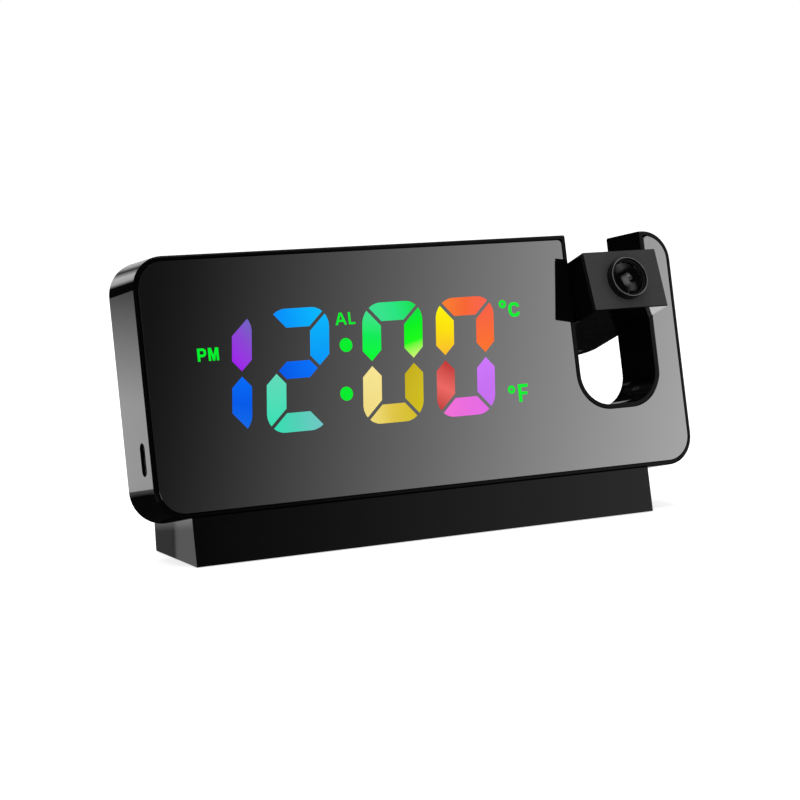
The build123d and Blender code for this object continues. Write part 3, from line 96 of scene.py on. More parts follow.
camera = bpy.data.objects.new("camera", bpy.data.cameras.new("camera"))
bpy.context.scene.collection.objects.link(camera)
turned = Matrix((right, above, -ahead)).transposed().to_4x4()
camera.matrix_world = Matrix.Translation(MIRROR_FOOT + CAMERA_FROM_MIRROR) @ turned
camera.data.lens = 99.0  # mm
camera.data.sensor_width = 36.0
camera.data.shift_x = -0.0502
camera.data.shift_y = -0.0875
camera.data.clip_start = 0.01
bpy.context.scene.camera = camera
bpy.context.scene.view_settings.view_transform = "Standard"
print("camera stands", round((camera.location - MIRROR_FOOT).length, 3), "m from the mirror")

# %% [markdown]
# ## Writing shaders as sums
# A finish is a small tree of nodes.  Wiring nodes by hand hides the idea, so one small class wraps a
# socket: adding or multiplying two of them adds the Math node that does it.  Every other node comes from
# `Tree.node`, which sets the node up first and then fills its inputs with values or links.


# %% Sockets and trees
class Shade:
    """One output socket of a node tree, which can be used in a Python sum."""

    def __init__(self, tree, socket):
        self.tree, self.socket = tree, socket

    def math(self, operation, first, second):
        return self.tree.node("Math", {"operation": operation}, {0: first, 1: second})

    def __add__(self, other):
        return self.math("ADD", self, other)

    def __radd__(self, other):
        return self.math("ADD", other, self)

    def __sub__(self, other):
        return self.math("SUBTRACT", self, other)

    def __rsub__(self, other):
        return self.math("SUBTRACT", other, self)

    def __mul__(self, other):
        return self.math("MULTIPLY", self, other)

    def __rmul__(self, other):
        return self.math("MULTIPLY", other, self)

    def __pow__(self, other):
        return self.math("POWER", self, other)


class Tree:
    """A material's or the world's node tree."""

    def __init__(self, node_tree):
        self.nodes, self.links = node_tree.nodes, node_tree.links

    def put(self, socket, value):
        """Links a shade to an input socket, or sets the socket to a plain value."""
        if isinstance(value, Shade):
            self.links.new(value.socket, socket)
        else:
            socket.default_value = value

    def node(self, kind, settings=(), inputs=(), output=0):
        """Makes a node, sets it up, fills its inputs and returns one of its outputs."""
        made = self.nodes.new("ShaderNode" + kind)
        for name, value in dict(settings).items():
            setattr(made, name, value)
        for name, value in dict(inputs).items():
            self.put(made.inputs[name], value)
        return Shade(self, made.outputs[output])

    def mixed(self, factor, first, second):
        """A colour that goes from the first to the second as the factor goes from 0 to 1."""
        ends = {0: factor, 6: first, 7: second}  # a Mix node's colours are its inputs 6 and 7, its output 2
        return self.node("Mix", {"data_type": "RGBA"}, ends, 2)

    def place(self):
        """The point of the surface in metres, in the clock's own frame."""
        return self.node("TexCoord", output="Object")

    def noise(self, size, detail=2.0, place=None):
        """Soft random patches about so many millimetres across, from 0 to 1."""
        where = place or self.place()
        return self.node("TexNoise", inputs={"Vector": where, "Scale": 1 / (size * MM), "Detail": detail})

    def facing(self, direction, start, full):
        """0 to 1 as the surface turns to face a direction; start and full are cosines."""
        inputs = {0: self.node("TexCoord", output="Normal"), 1: direction}
        cosine = self.node("VectorMath", {"operation": "DOT_PRODUCT"}, inputs, "Value")
        return self.rise(cosine, start, full)

    def rise(self, value, start, full):
        """0 below start, 1 beyond full, and even between; falls instead where full is below start."""
        ends = {"Value": value, "From Min": start, "From Max": full}
        return self.node("MapRange", {"clamp": True}, ends)

    def bump(self, height, depth):
        """A surface normal from a height of 0 to 1 that stands for so many millimetres."""
        return self.node("Bump", inputs={"Height": height, "Distance": depth * MM})


def grey(level):
    """A colourless shade, given as linear light."""
    return (level, level, level, 1.0)


def screen(red, green, blue):
    """A colour given as it looks on a screen, 0 to 255, as the linear light that a shader works in."""
    shares = [v / 255 for v in (red, green, blue)]
    return (*(((s + 0.055) / 1.055) ** 2.4 if s > 0.04 else s / 12.92 for s in shares), 1.0)


# %% [markdown]
# ## Finishes
# Each finish starts as one Principled shader with plain values.  Whatever is the same all over stays a
# plain value.  What changes over the surface, such as fingerprints in the gloss or the grain of a mould,
# is a small pattern that feeds the colour, the roughness or the normal.


# %% One maker for every finish
finishes = {}


def finish(name, colour, roughness, **sockets):
    """A new material with its plain values set.  Returns its tree and its shader, to be detailed further."""
    material = bpy.data.materials.new(name)
    material.use_nodes = True
    tree = Tree(material.node_tree)
    shader = material.node_tree.nodes["Principled BSDF"].inputs
    tree.put(shader["Base Color"], colour)
    tree.put(shader["Roughness"], roughness)
    for socket, value in sockets.items():
        tree.put(shader[socket.replace("_", " ")], value)
    finishes[name] = material
    print("finish:", name)
    return tree, shader


# %% [markdown]
# ### Gloss black case and foot
# Both are moulded in glossy black ABS.  Handling leaves a faint haze on the gloss, so the roughness
# wanders a little.  A texture of smears would show more, but a soft noise is enough at this distance.

# %% Case and foot
tree, shader = finish("case_gloss_black", grey(0.002), 0.05, Specular_IOR_Level=0.15)
haze = tree.noise(22, 3)
tree.put(shader["Roughness"], 0.035 + 0.03 * haze)
tree.put(shader["Base Color"], tree.mixed(haze, grey(0.001), grey(0.003)))

tree, shader = finish("foot_black", grey(0.002), 0.02, Specular_IOR_Level=0.3)
haze = tree.noise(30, 3)
tree.put(shader["Roughness"], 0.01 + 0.015 * haze)
tree.put(shader["Base Color"], tree.mixed(haze, grey(0.0015), grey(0.003)))

# %% [markdown]
# ### Projector, focus ring and hinge block
# The projector is polished too, but its front is etched matt and painted a lighter grey than its sides:
# painted light, standing in for the light that the face catches.  The focus ring's front is painted pale
# grey, a painted highlight for the light on its rim.  Each is one moulding with one material, so the shader
# asks which way the surface looks.  The normal is read in the piece's own frame, so the grey stays on the
# front when the projector swings.  The hinge block beside them is matt.

# %% Projector, ring and hinge block
tree, shader = finish("projector_black", grey(0.002), 0.1)
# Painted light: a grey on the front stands in for the light that the face catches; the etching is its extra
# roughness and bump.
etched_front_and_painted_light = tree.facing(PROJECTOR_FRONT, 0.96, 0.99)
painted_front_light = tree.mixed(tree.noise(5, 3), grey(0.057), grey(0.063))
tree.put(shader["Base Color"], tree.mixed(etched_front_and_painted_light, grey(0.002), painted_front_light))
tree.put(shader["Roughness"], 0.07 + 0.03 * tree.noise(9, 3) + 0.5 * etched_front_and_painted_light)
tree.put(shader["Normal"], tree.bump(etched_front_and_painted_light * tree.noise(0.3, 2), 0.006))

tree, shader = finish("focus_ring_black", grey(0.003), 0.2)
# Painted highlight: the ring's front is painted pale grey for the light that catches its rim.
edge = tree.facing(PROJECTOR_FRONT, 0.85, 0.98)
tree.put(shader["Base Color"], tree.mixed(edge, grey(0.003), grey(0.2)))
tree.put(shader["Roughness"], 0.18 + 0.1 * tree.noise(2, 2) + 0.1 * edge)

tree, shader = finish("hinge_black", grey(0.002), 0.6, Specular_IOR_Level=0.08)
tree.put(shader["Roughness"], 0.55 + 0.12 * tree.noise(5, 2))
tree.put(shader["Normal"], tree.bump(tree.noise(0.3, 2), 0.003))

# %% [markdown]
# ### Grained covers and satin keys
# The back cover comes from an etched mould, which gives it a fine grain; the keys are a little smoother.
# The grain is far too fine to model, so a small noise feeds both the roughness and a Bump node.

# %% Covers and keys
tree, shader = finish("cover_grained_black", grey(0.04), 0.5)
grain = tree.noise(0.28, 2)
tree.put(shader["Base Color"], tree.mixed(tree.noise(25, 3), grey(0.035), grey(0.048)))
tree.put(shader["Roughness"], 0.42 + 0.2 * grain)
tree.put(shader["Normal"], tree.bump(grain, 0.03))

tree, shader = finish("key_black", grey(0.015), 0.3)
tree.put(shader["Roughness"], 0.24 + 0.14 * tree.noise(3, 3))
tree.put(shader["Base Color"], tree.mixed(tree.noise(8, 2), grey(0.011), grey(0.018)))
tree.put(shader["Normal"], tree.bump(tree.noise(0.2, 2), 0.006))

# %% [markdown]
# ### The smoked half-mirror
# A half-mirror reflects part of the light and lets part through, so the dark display behind it shows only
# where it is lit.  Seen from outside it is a dim mirror: a metal-like shader with a grey tint, nearly
# smooth, with faint wiping marks in its gloss.

# %% Mirror
tree, shader = finish("half_mirror", grey(0.38), 0.04, Metallic=1.0)
wiped = tree.node("Mapping", {"vector_type": "TEXTURE"}, {"Vector": tree.place(), "Scale": (6.0, 1.0, 1.0)})
tree.put(shader["Roughness"], 0.03 + 0.035 * tree.noise(9, 3, wiped))
tree.put(shader["Base Color"], tree.mixed(tree.noise(40, 2), grey(0.37), grey(0.40)))

# %% [markdown]
# ### Lit plastic
# The lit segments are pieces of their own on the glass, because that is where the eye sees them.  Their
# colours are kept at their corners and read back with an Attribute node.  Real light-guides are a little
# brighter over the diode, so a soft patchiness goes over the colour.

# %% Lit segments and lit marks
tree, shader = finish("lit_segment", grey(0.0), 0.25, Specular_IOR_Level=0.2, Emission_Strength=1.0)
glow = tree.node("Attribute", {"attribute_name": "glow"}, output="Color")
dimmed = tree.node("VectorMath", {"operation": "SCALE"}, {"Vector": glow, "Scale": 0.93})
tree.put(shader["Emission Color"], tree.mixed(tree.noise(7, 1), dimmed, glow))

tree, shader = finish("lit_mark", grey(0.0), 0.25, Specular_IOR_Level=0.2, Emission_Strength=1.0)
GREEN, DEEP_GREEN = screen(0, 250, 45), screen(0, 225, 45)
tree.put(shader["Emission Color"], tree.mixed(tree.noise(3, 1), DEEP_GREEN, GREEN))

# %% [markdown]
# ### Steel and acetal
# Screws, pins and the cell are steel, which shows fine lines from turning or rolling.  They could be
# modelled as grooves, but a noise that is stretched in two directions and feeds the roughness and the
# normal looks the same.  Acetal, an off-white bearing plastic, serves for the hinge's bush.

# %% Steel and acetal
tree, shader = finish("steel", grey(0.55), 0.3, Metallic=1.0)
drawn = tree.node("Mapping", inputs={"Vector": tree.place(), "Scale": (1.0, 1.0, 12.0)})
lines = tree.noise(1.5, 3, drawn)
tree.put(shader["Roughness"], 0.2 + 0.22 * lines)
tree.put(shader["Base Color"], tree.mixed(tree.noise(4, 3), grey(0.46), grey(0.62)))
tree.put(shader["Normal"], tree.bump(lines, 0.003))

tree, shader = finish("acetal", screen(226, 222, 210), 0.4)
tree.put(shader["Base Color"], tree.mixed(tree.noise(4, 2), screen(218, 213, 200), screen(230, 227, 216)))
tree.put(shader["Roughness"], 0.36 + 0.1 * tree.noise(2, 2))

# %% [markdown]
# ### Rubber and the black inner parts
# Rubber is rough and a little dusty.  The light mask and what else sits inside is matt black, so that
# stray light from the diodes dies there.  A plain colour would almost do, but in close views a faint noise
# keeps a part from looking like cut paper.

# %% Rubber pads and black inner parts
tree, shader = finish("pad_rubber", grey(0.02), 0.8)
dust = tree.noise(2, 4)
tree.put(shader["Base Color"], tree.mixed(dust, grey(0.014), grey(0.035)))
tree.put(shader["Roughness"], 0.72 + 0.2 * dust)
tree.put(shader["Normal"], tree.bump(tree.noise(0.25, 2), 0.02))

tree, shader = finish("inner_black", grey(0.01), 0.6)
tree.put(shader["Base Color"], tree.mixed(tree.noise(6, 3), grey(0.008), grey(0.014)))
tree.put(shader["Roughness"], 0.55 + 0.15 * tree.noise(1, 2))
tree.put(shader["Normal"], tree.bump(tree.noise(0.3, 2), 0.01))

tree, shader = finish("component_black", grey(0.02), 0.5)
tree.put(shader["Base Color"], tree.mixed(tree.noise(0.5, 3), grey(0.015), grey(0.03)))
tree.put(shader["Roughness"], 0.45 + 0.2 * tree.noise(0.6, 2))

# %% [markdown]
# ### Boards, diodes and diffusers
# A circuit board is green lacquer over copper tracks, which stand a hair proud.  Real tracks follow the
# circuit; a brick pattern stands in for them, because only their glint through the lacquer is seen.

# %% Circuit boards, diodes and diffusers
tree, shader = finish("circuit_board", screen(18, 74, 42), 0.3)
tracks_at = {"Vector": tree.place(), "Scale": 160.0, "Mortar Size": 0.012}
tracks = tree.node("TexBrick", {"offset": 0.5}, tracks_at, "Fac")
tree.put(shader["Base Color"], tree.mixed(tracks, screen(16, 66, 38), screen(42, 116, 66)))
tree.put(shader["Roughness"], 0.25 + 0.1 * tree.noise(3, 2))
tree.put(shader["Normal"], tree.bump(tracks, 0.03))

tree, shader = finish("light_yellow", screen(236, 206, 96), 0.35)
tree.put(shader["Base Color"], tree.mixed(tree.noise(1, 2), screen(226, 190, 70), screen(242, 216, 120)))

tree, shader = finish("milky_diffuser", grey(0.75), 0.45)
tree.put(shader["Base Color"], tree.mixed(tree.noise(5, 2), grey(0.68), grey(0.8)))
tree.put(shader["Roughness"], 0.4 + 0.1 * tree.noise(2, 2))

tree, shader = finish("speaker_grey", grey(0.12), 0.5)
tree.put(shader["Base Color"], tree.mixed(tree.noise(3, 3), grey(0.09), grey(0.16)))
tree.put(shader["Normal"], tree.bump(tree.noise(0.6, 3), 0.03))

# %% [markdown]
# ### Glass
# The lenses and the lamp's cap are clear: full transmission and the refraction of plain glass.  The slide
# behind the front lens is nearly black, so a smooth dark surface does, and it renders faster than glass.

# %% Glass
tree, shader = finish("clear_lens", grey(1.0), 0.02, Transmission_Weight=1.0, IOR=1.5)
tree.put(shader["Roughness"], 0.01 + 0.02 * tree.noise(3, 2))

tree, shader = finish("slide_glass", grey(0.05), 0.1)
tree.put(shader["Base Color"], tree.mixed(tree.noise(4, 2), screen(28, 32, 40), screen(44, 50, 60)))
tree.put(shader["Roughness"], 0.06 + 0.06 * tree.noise(2, 2))

print(len(finishes), "finishes")

# %% [markdown]
# ## Dressing the solids
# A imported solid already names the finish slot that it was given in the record.  Most slots have a finish
# of the same name.  A few parts are moulded in another black than the case, so they are named one by one.

# %% Give every solid its finish
BLACKS = {
    "case_housing": "case_gloss_black",
    "back_cover": "cover_grained_black",
    "cell_door": "cover_grained_black",
    "foot": "foot_black",
    "foot_plate": "cover_grained_black",
    "projector_housing": "projector_black",
    "projector_cover": "projector_black",
    "focus_ring": "focus_ring_black",
    "hinge_block": "hinge_black",
}
for name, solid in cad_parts.items():
    recorded = solid.material_slots[0].material.name.split(".")[0]
    for slot in solid.material_slots:
        slot.material = finishes[BLACKS.get(name, recorded)]
print("dressed", len(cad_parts), "solids")

# %% [markdown]
# ## The lit display
# Each segment is a milky diffuser behind the mirror.  The diffusers could glow themselves, behind a mirror
# that lets light through, but then the reflections would wash their colours out.  So a film of light is laid
# on the glass: the front face of each diffuser is read from the solid, moved forward and given a hair of
# thickness.  That way the light can't drift from the window that it comes through.

# %% The front faces of a diffuser
FRONT_COSINE = 0.99  # a face that looks out of the mirror, to within eight degrees
SAME_LEVEL = 0.1 * MM
SAME_POINT = 0.001 * MM
STRAIGHT = 0.01  # radians; edges that bend less are run together


def front_faces(node):
    """The outline of each solid's front face in a node, as a list of points."""
    mesh = bmesh.new()
    mesh.from_mesh(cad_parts[node].data)
    level = max(v.co.dot(OUT) for v in mesh.verts)

    def hidden(face):
        behind = level - face.calc_center_median().dot(OUT)
        return face.normal.dot(OUT) < FRONT_COSINE or behind > SAME_LEVEL

    bmesh.ops.delete(mesh, geom=[f for f in mesh.faces if hidden(f)], context="FACES")
    bmesh.ops.remove_doubles(mesh, verts=mesh.verts, dist=SAME_POINT)
    bmesh.ops.dissolve_limit(mesh, angle_limit=STRAIGHT, verts=mesh.verts, edges=mesh.edges)
    outlines = [[v.co.copy() for v in f.verts] for f in mesh.faces]
    mesh.free()
    return outlines


def mirror_place(point):
    """The x and height in mm of a point, measured on the mirror as on_mirror takes them."""
    away = (point - MIRROR_FOOT) / MM
    return away.dot(ALONG), away.dot(UP)


def middle(outline):
    """The x and height of the middle of an outline's box."""
    places = [mirror_place(p) for p in outline]
    xs, heights = [x for x, _ in places], [h for _, h in places]
    return (min(xs) + max(xs)) / 2, (min(heights) + max(heights)) / 2


# %% [markdown]
# A lit film is the outline filled in, cut across wherever its colour changes, and closed all round.  The
# colour is stored at each corner of each face, and between corners it blends evenly.  Colours stored in the
# mesh need no unwrapping.

# %% A lit film on the glass
LIT_PROUD = 0.03  # mm that the lit film stands in front of the mirror
LIT_BACK = -0.03  # its back lies just inside the glass
ON_THE_CUT = 1e-7  # metres; a point this near to a cut counts as lying on it


def placed(name, mesh, material):
    """Puts a finished bmesh into the scene as an object with one material."""
    data = bpy.data.meshes.new(name)
    mesh.to_mesh(data)
    mesh.free()
    data.materials.append(material)
    thing = bpy.data.objects.new(name, data)
    bpy.context.scene.collection.objects.link(thing)
    return thing


def light_piece(name, mesh, finish_name):
    """A piece of light that rides on the clock."""
    piece = placed(name, mesh, finishes[finish_name])
    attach(piece, "clock")


def thicken(mesh):
    """Closes a film that lies at its front level into a slab whose back is inside the glass."""
    backs = bmesh.ops.extrude_face_region(mesh, geom=mesh.faces[:], use_keep_orig=True)["geom"]
    for vert in (g for g in backs if isinstance(g, bmesh.types.BMVert)):
        vert.co += (LIT_BACK - LIT_PROUD) * MM * OUT
    bmesh.ops.recalc_face_normals(mesh, faces=mesh.faces)


def cut(mesh, point, away, clear_outer=False):
    """Cuts a film along the plane through a point, and can drop what lies away from it."""
    whole = mesh.verts[:] + mesh.edges[:] + mesh.faces[:]
    plane = {"plane_co": point, "plane_no": away, "clear_outer": clear_outer}
    bmesh.ops.bisect_plane(mesh, geom=whole, dist=ON_THE_CUT, **plane)


def lit_film(name, outline, slope, colours, finish_name="lit_segment", trims=()):
    """A lit segment whose colours follow one another along a slope, in degrees from level."""
    toward = math.cos(math.radians(slope)) * ALONG + math.sin(math.radians(slope)) * UP
    ways = [p.dot(toward) for p in outline]
    start, length = min(ways), max(ways) - min(ways)
    steps = len(colours) - 1
    mesh = bmesh.new()
    face = mesh.faces.new([mesh.verts.new(p) for p in outline])
    if face.normal.dot(OUT) < 0:
        face.normal_flip()
    for step in range(1, steps):
        cut(mesh, toward * (start + length * step / steps), toward)
    for point, away in trims:
        cut(mesh, point, away, clear_outer=True)
    for vert in mesh.verts:
        vert.co -= (vert.co - MIRROR_FOOT).dot(OUT) * OUT - LIT_PROUD * MM * OUT
    thicken(mesh)
    glow = mesh.loops.layers.float_color.new("glow")
    for loop in (loop for f in mesh.faces for loop in f.loops):
        along = (loop.vert.co.dot(toward) - start) / length * steps
        first = max(0, min(steps - 1, int(along + 1e-6)))
        share = max(0.0, min(1.0, along - first))
        loop[glow] = [a + (b - a) * share for a, b in zip(colours[first], colours[first + 1])]
    light_piece(name, mesh, finish_name)


# %% [markdown]
# ### Twelve o'clock in colours
# A rainbow film over the diodes gives every segment its own colour, from violet at the left to pink at
# the right.  Segments are named as on every seven-segment display: a at the top, then clockwise b to f,
# and g in the middle.  Each entry is the slope in degrees along which the colours run, and the colours as
# they look on a screen.

# %% The colour of each lit segment
DIGITS = {
    "hour_tens": {
        "b": (35, (160, 32, 238), (142, 70, 216), (108, 106, 192)),
        "c": (80, (16, 108, 236), (0, 92, 236), (0, 108, 250)),
    },
    "hour_units": {
        "a": (10, (0, 140, 255), (0, 168, 255), (0, 190, 255)),
        "b": (90, (0, 150, 250), (0, 186, 255)),
        "g": (20, (0, 88, 232), (0, 116, 255)),
        "e": (90, (52, 226, 180), (100, 222, 190)),
        "d": (0, (44, 226, 180), (84, 212, 186), (116, 200, 200)),
    },
    "minute_tens": {
        "f": (80, (0, 255, 40), (10, 240, 90), (70, 226, 150)),
        "a": (15, (64, 226, 150), (40, 232, 130), (0, 230, 60)),
        "b": (105, (214, 250, 120), (20, 255, 20), (0, 246, 30), (0, 225, 70)),
        "e": (90, (244, 222, 130), (250, 232, 150)),
        "d": (0, (246, 226, 130), (226, 200, 70), (214, 192, 30)),
        "c": (-30, (200, 176, 24), (206, 186, 30), (214, 196, 20)),
    },
    "minute_units": {
        "f": (80, (255, 190, 40), (255, 226, 0), (255, 250, 0)),
        "a": (-10, (255, 132, 50), (252, 104, 50), (255, 100, 84)),
        "b": (100, (255, 116, 40), (252, 96, 72)),
        "e": (60, (180, 50, 50), (240, 106, 100), (190, 50, 52)),
        "d": (0, (246, 112, 216), (230, 108, 236)),
        "c": (80, (200, 110, 240), (206, 120, 255)),
    },
}
print("lit segments:", sum(len(lit) for lit in DIGITS.values()))

# %% [markdown]
# ### From windows to rounded figures
# The windows behind the glass have small corners, but the lit figure looks rounder.  So each film is
# trimmed where it would pass the round corner of the whole figure.  Which film is which segment follows
# from where its middle lies in the digit.

# %% Light every segment
SLANT = math.tan(math.radians(6.1))  # how far a digit leans to the right as it rises
DIGIT_CORNER_R = 6.2  # mm; the lit figure is rounder than the windows behind the glass
CORNER_CUTS = range(10, 90, 15)  # degrees round a corner at which it is cut
NEAR_MIDDLE = 0.4  # share of the half width or height within which a segment counts as in the middle


def segment_letter(across, rise):
    """The name of a segment from where its middle is, as shares of the digit's half width and half height."""
    if abs(across) < NEAR_MIDDLE:
        return "g" if abs(rise) < NEAR_MIDDLE else "ad"[rise < 0]
    return ("cb" if across > 0 else "ef")[rise > 0]


def corner_trims(x, height, half_width, half_height):
    """Cuts that round the four corners of a slanted digit, each as a point and the direction cut away."""
    trims = []
    for side_x, side_y in ((1, 1), (-1, 1), (-1, -1), (1, -1)):
        for turn in map(math.radians, CORNER_CUTS):
            out_x, out_y = side_x * math.cos(turn), side_y * math.sin(turn)
            far_x = side_x * (half_width - DIGIT_CORNER_R) + DIGIT_CORNER_R * out_x
            far_y = side_y * (half_height - DIGIT_CORNER_R) + DIGIT_CORNER_R * out_y
            point = on_mirror(x + far_x + far_y * SLANT, height + far_y)
            trims.append((point, out_x * ALONG + (out_y - out_x * SLANT) * UP))
    return trims


def reach(outlines):
    """Left, right, low and high of a digit in mm, measured as if it stood upright about its middle."""
    places = [mirror_place(p) for outline in outlines for p in outline]
    low, high = min(h for _, h in places), max(h for _, h in places)
    upright = [x - (h - (low + high) / 2) * SLANT for x, h in places]
    return min(upright), max(upright), low, high


left_end, right_end, low, high = reach(front_faces("hour_units_digit"))
HALF_WIDTH, HALF_HEIGHT = (right_end - left_end) / 2, (high - low) / 2
print("a whole digit is", round(2 * HALF_WIDTH, 2), "by", round(2 * HALF_HEIGHT, 2), "mm")

for digit, lit in DIGITS.items():
    outlines = front_faces(digit + "_digit")
    _, right_end, low, high = reach(outlines)
    digit_x, digit_height = right_end - HALF_WIDTH, (low + high) / 2
    trims = corner_trims(digit_x, digit_height, HALF_WIDTH, HALF_HEIGHT)
    for outline in outlines:
        x, height = middle(outline)
        raised = height - digit_height
        letter = segment_letter((x - digit_x - raised * SLANT) / HALF_WIDTH, raised / HALF_HEIGHT)
        if letter in lit:
            slope, *colours = lit[letter]
            colours = [screen(*colour) for colour in colours]
            lit_film(f"{digit}_light_{letter}", outline, slope, colours, trims=trims)
    print(digit, "shows", "".join(sorted(lit)))

# %% [markdown]
# ### The small green marks
# The colon is two round films, made like the segments.  The letters are cut like the letters of a stencil:
# each is one or two closed loops of corners in mm, an outline and perhaps a hole, filled in between.

# %% Colon
dots = sorted(front_faces("colon_diffusers"), key=lambda outline: middle(outline)[1])
for side, outline in zip(("low", "high"), dots):
    lit_film(f"colon_light_{side}", outline, 90, [GREEN, GREEN], "lit_mark")
print("colon:", len(dots), "dots")


# %% Letters
def mark(name, x, height, *loops):
    """A lit mark whose loops are drawn in mm from a point on the mirror."""
    mesh = bmesh.new()
    for loop in loops:
        verts = [mesh.verts.new(on_mirror(x + across, height + up, LIT_PROUD)) for across, up in loop]
        for one, after in zip(verts, verts[1:] + verts[:1]):
            mesh.edges.new((one, after))
    bmesh.ops.triangle_fill(mesh, use_beauty=True, edges=mesh.edges, normal=OUT)
    bmesh.ops.dissolve_limit(mesh, angle_limit=STRAIGHT, verts=mesh.verts, edges=mesh.edges)
    thicken(mesh)
    light_piece(name, mesh, "lit_mark")


def circle(radius, points=28):
    """A round loop of points about its own middle."""
    turns = [2 * math.pi * k / points for k in range(points)]
    return [(radius * math.cos(t), radius * math.sin(t)) for t in turns]


P_OUTLINE = [(0, 0), (0.8, 0), (0.8, 1.25), (1.95, 1.25), (2.65, 1.75)]
P_OUTLINE += [(2.8, 2.5), (2.65, 3.3), (1.95, 3.8), (0, 3.8)]
P_HOLE = [(0.8, 2.0), (1.75, 2.0), (2.0, 2.25), (2.0, 2.8), (1.75, 3.05), (0.8, 3.05)]
M_LEFT = [(0, 3.8), (0, 0), (0.75, 0), (0.75, 2.3), (1.3, 0), (1.95, 0)]
M_RIGHT = [(2.5, 2.3), (2.5, 0), (3.25, 0), (3.25, 3.8), (2.25, 3.8), (1.62, 1.6), (1.0, 3.8)]
A_OUTLINE = [(0, 0), (0.8, 0), (1.1, 0.9), (2.7, 0.9), (3.0, 0), (3.8, 0), (2.35, 3.7), (1.45, 3.7)]
A_HOLE = [(1.35, 1.55), (2.45, 1.55), (1.9, 3.0)]
L_OUTLINE = [(0, 0), (2.2, 0), (2.2, 0.6), (0.72, 0.6), (0.72, 3.7), (0, 3.7)]
C_OUTER = [(4.05, 1.45), (3.75, 0.6), (2.9, 0), (1.3, 0), (0.35, 0.65), (0, 1.6), (0, 2.9)]
C_OUTER += [(0.35, 3.85), (1.3, 4.5), (2.9, 4.5), (3.75, 3.9), (4.05, 3.1)]
C_INNER = [(3.0, 3.0), (2.7, 3.5), (1.6, 3.55), (1.15, 3.0)]
C_INNER += [(1.1, 1.6), (1.6, 0.95), (2.65, 0.95), (3.0, 1.5)]
F_OUTLINE = [(0, 0), (1.15, 0), (1.15, 2.2), (3.2, 2.2), (3.2, 3.15), (1.15, 3.15)]
F_OUTLINE += [(1.15, 4.5), (3.55, 4.5), (3.55, 5.5), (0, 5.5)]

mark("pm_letter_p", -75.15, 44.5, P_OUTLINE, P_HOLE)
mark("pm_letter_m", -71.75, 44.5, M_LEFT + M_RIGHT)
mark("alarm_letter_a", -30.15, 52.25, A_OUTLINE, A_HOLE)
mark("alarm_letter_l", -25.7, 52.25, L_OUTLINE)
mark("celsius_letter", 29.75, 51.05, C_OUTER + C_INNER)
mark("fahrenheit_letter", 29.95, 24.45, F_OUTLINE)
DEGREE_RING = circle(1.3), circle(0.45)
mark("celsius_degree_ring", 27.8, 55.2, *DEGREE_RING)
mark("fahrenheit_degree_ring", 27.6, 28.5, *DEGREE_RING)
print("marks: PM, AL, degrees C, degrees F")

# %% [markdown]
# ## The studio
# Black gloss shows only what it mirrors, so a black product is lit by what stands round it.  The plain
# light comes from a white room and one soft lamp overhead.  The room has full strength only where it is
# seen, by the camera, in gloss or through glass; as a lamp it is weaker, so nothing pale clips to white.

# %% World
ROOM_LIGHT = 0.45  # what the white room gives as a lamp; where it is seen it is 1

world = bpy.data.worlds.new("white_room")
bpy.context.scene.world = world
world.use_nodes = True
tree = Tree(world.node_tree)
seen = [tree.node("LightPath", output=f"Is {ray} Ray") for ray in ("Camera", "Glossy", "Transmission")]
background = world.node_tree.nodes["Background"].inputs
tree.put(background["Strength"], ROOM_LIGHT + (1 - ROOM_LIGHT) * (seen[0] + seen[1] + seen[2]))
tree.put(background["Color"], grey(1.0))
print("the room lights the clock at", ROOM_LIGHT)

# %% [markdown]
# ### Floor
# The clock stands on pale paper that runs on to the horizon.  Paper alone would render grey, so the
# camera sees a glow added to it.  Stronger lamps could whiten it too, but would bleach the clock as well.
# The glow throws no light, and the shadow stays on the paper.

# %% Floor
FLOOR = 12.0  # metres from the middle to each edge
FLOOR_GREY, FLOOR_GLOW = 0.85, 0.7

floor_paint = bpy.data.materials.new("floor_paint")
floor_paint.use_nodes = True
tree = Tree(floor_paint.node_tree)
shader = floor_paint.node_tree.nodes["Principled BSDF"].inputs
tree.put(shader["Base Color"], grey(FLOOR_GREY))
tree.put(shader["Roughness"], 0.9)
tree.put(shader["Specular IOR Level"], 0.0)
tree.put(shader["Emission Color"], grey(1.0))
tree.put(shader["Emission Strength"], FLOOR_GLOW * tree.node("LightPath", output="Is Camera Ray"))

mesh = bmesh.new()
corners = ((-1, -1), (1, -1), (1, 1), (-1, 1))
mesh.faces.new([mesh.verts.new((FLOOR * x, FLOOR * y, 0)) for x, y in corners])
floor = placed("floor", mesh, floor_paint)
floor.visible_glossy = False  # the dome below the horizon stands for it in reflections
print("the floor is", 2 * FLOOR, "m square")

# %% [markdown]
# ### The dome of soft windows
# For the reflections, a large dome is painted with soft windows.  Lamps could do it, but each would also
# light the clock; the dome is seen only by reflected and refracted rays, and throws no light or shadow.
# A direction is given by its bearing, in degrees from straight ahead of the clock towards the projector's
# end, and its height above the horizon.

# %% Directions on the dome
dome_light = bpy.data.materials.new("dome_light")
dome_light.use_nodes = True
dome_light.node_tree.nodes.clear()
tree = Tree(dome_light.node_tree)
away = tree.node("VectorMath", {"operation": "NORMALIZE"}, {0: tree.place()})
x_way, y_way, z_way = (tree.node("SeparateXYZ", inputs={"Vector": away}, output=axis) for axis in "XYZ")
bearing = math.degrees(1) * tree.node("Math", {"operation": "ARCTAN2"}, {0: x_way, 1: 0.0 - y_way})
height = math.degrees(1) * tree.node("Math", {"operation": "ARCSINE"}, {0: z_way})


def span(angle, centre, half, soft):
    """1 within half a width of the centre, fading to 0 over the soft edge."""
    off = tree.node("Math", {"operation": "WRAP"}, {0: angle - centre, 1: 180.0, 2: -180.0})
    return tree.rise(tree.node("Math", {"operation": "ABSOLUTE"}, {0: off}), half + soft, half)


print("dome directions are worked out from", len(tree.nodes), "nodes")

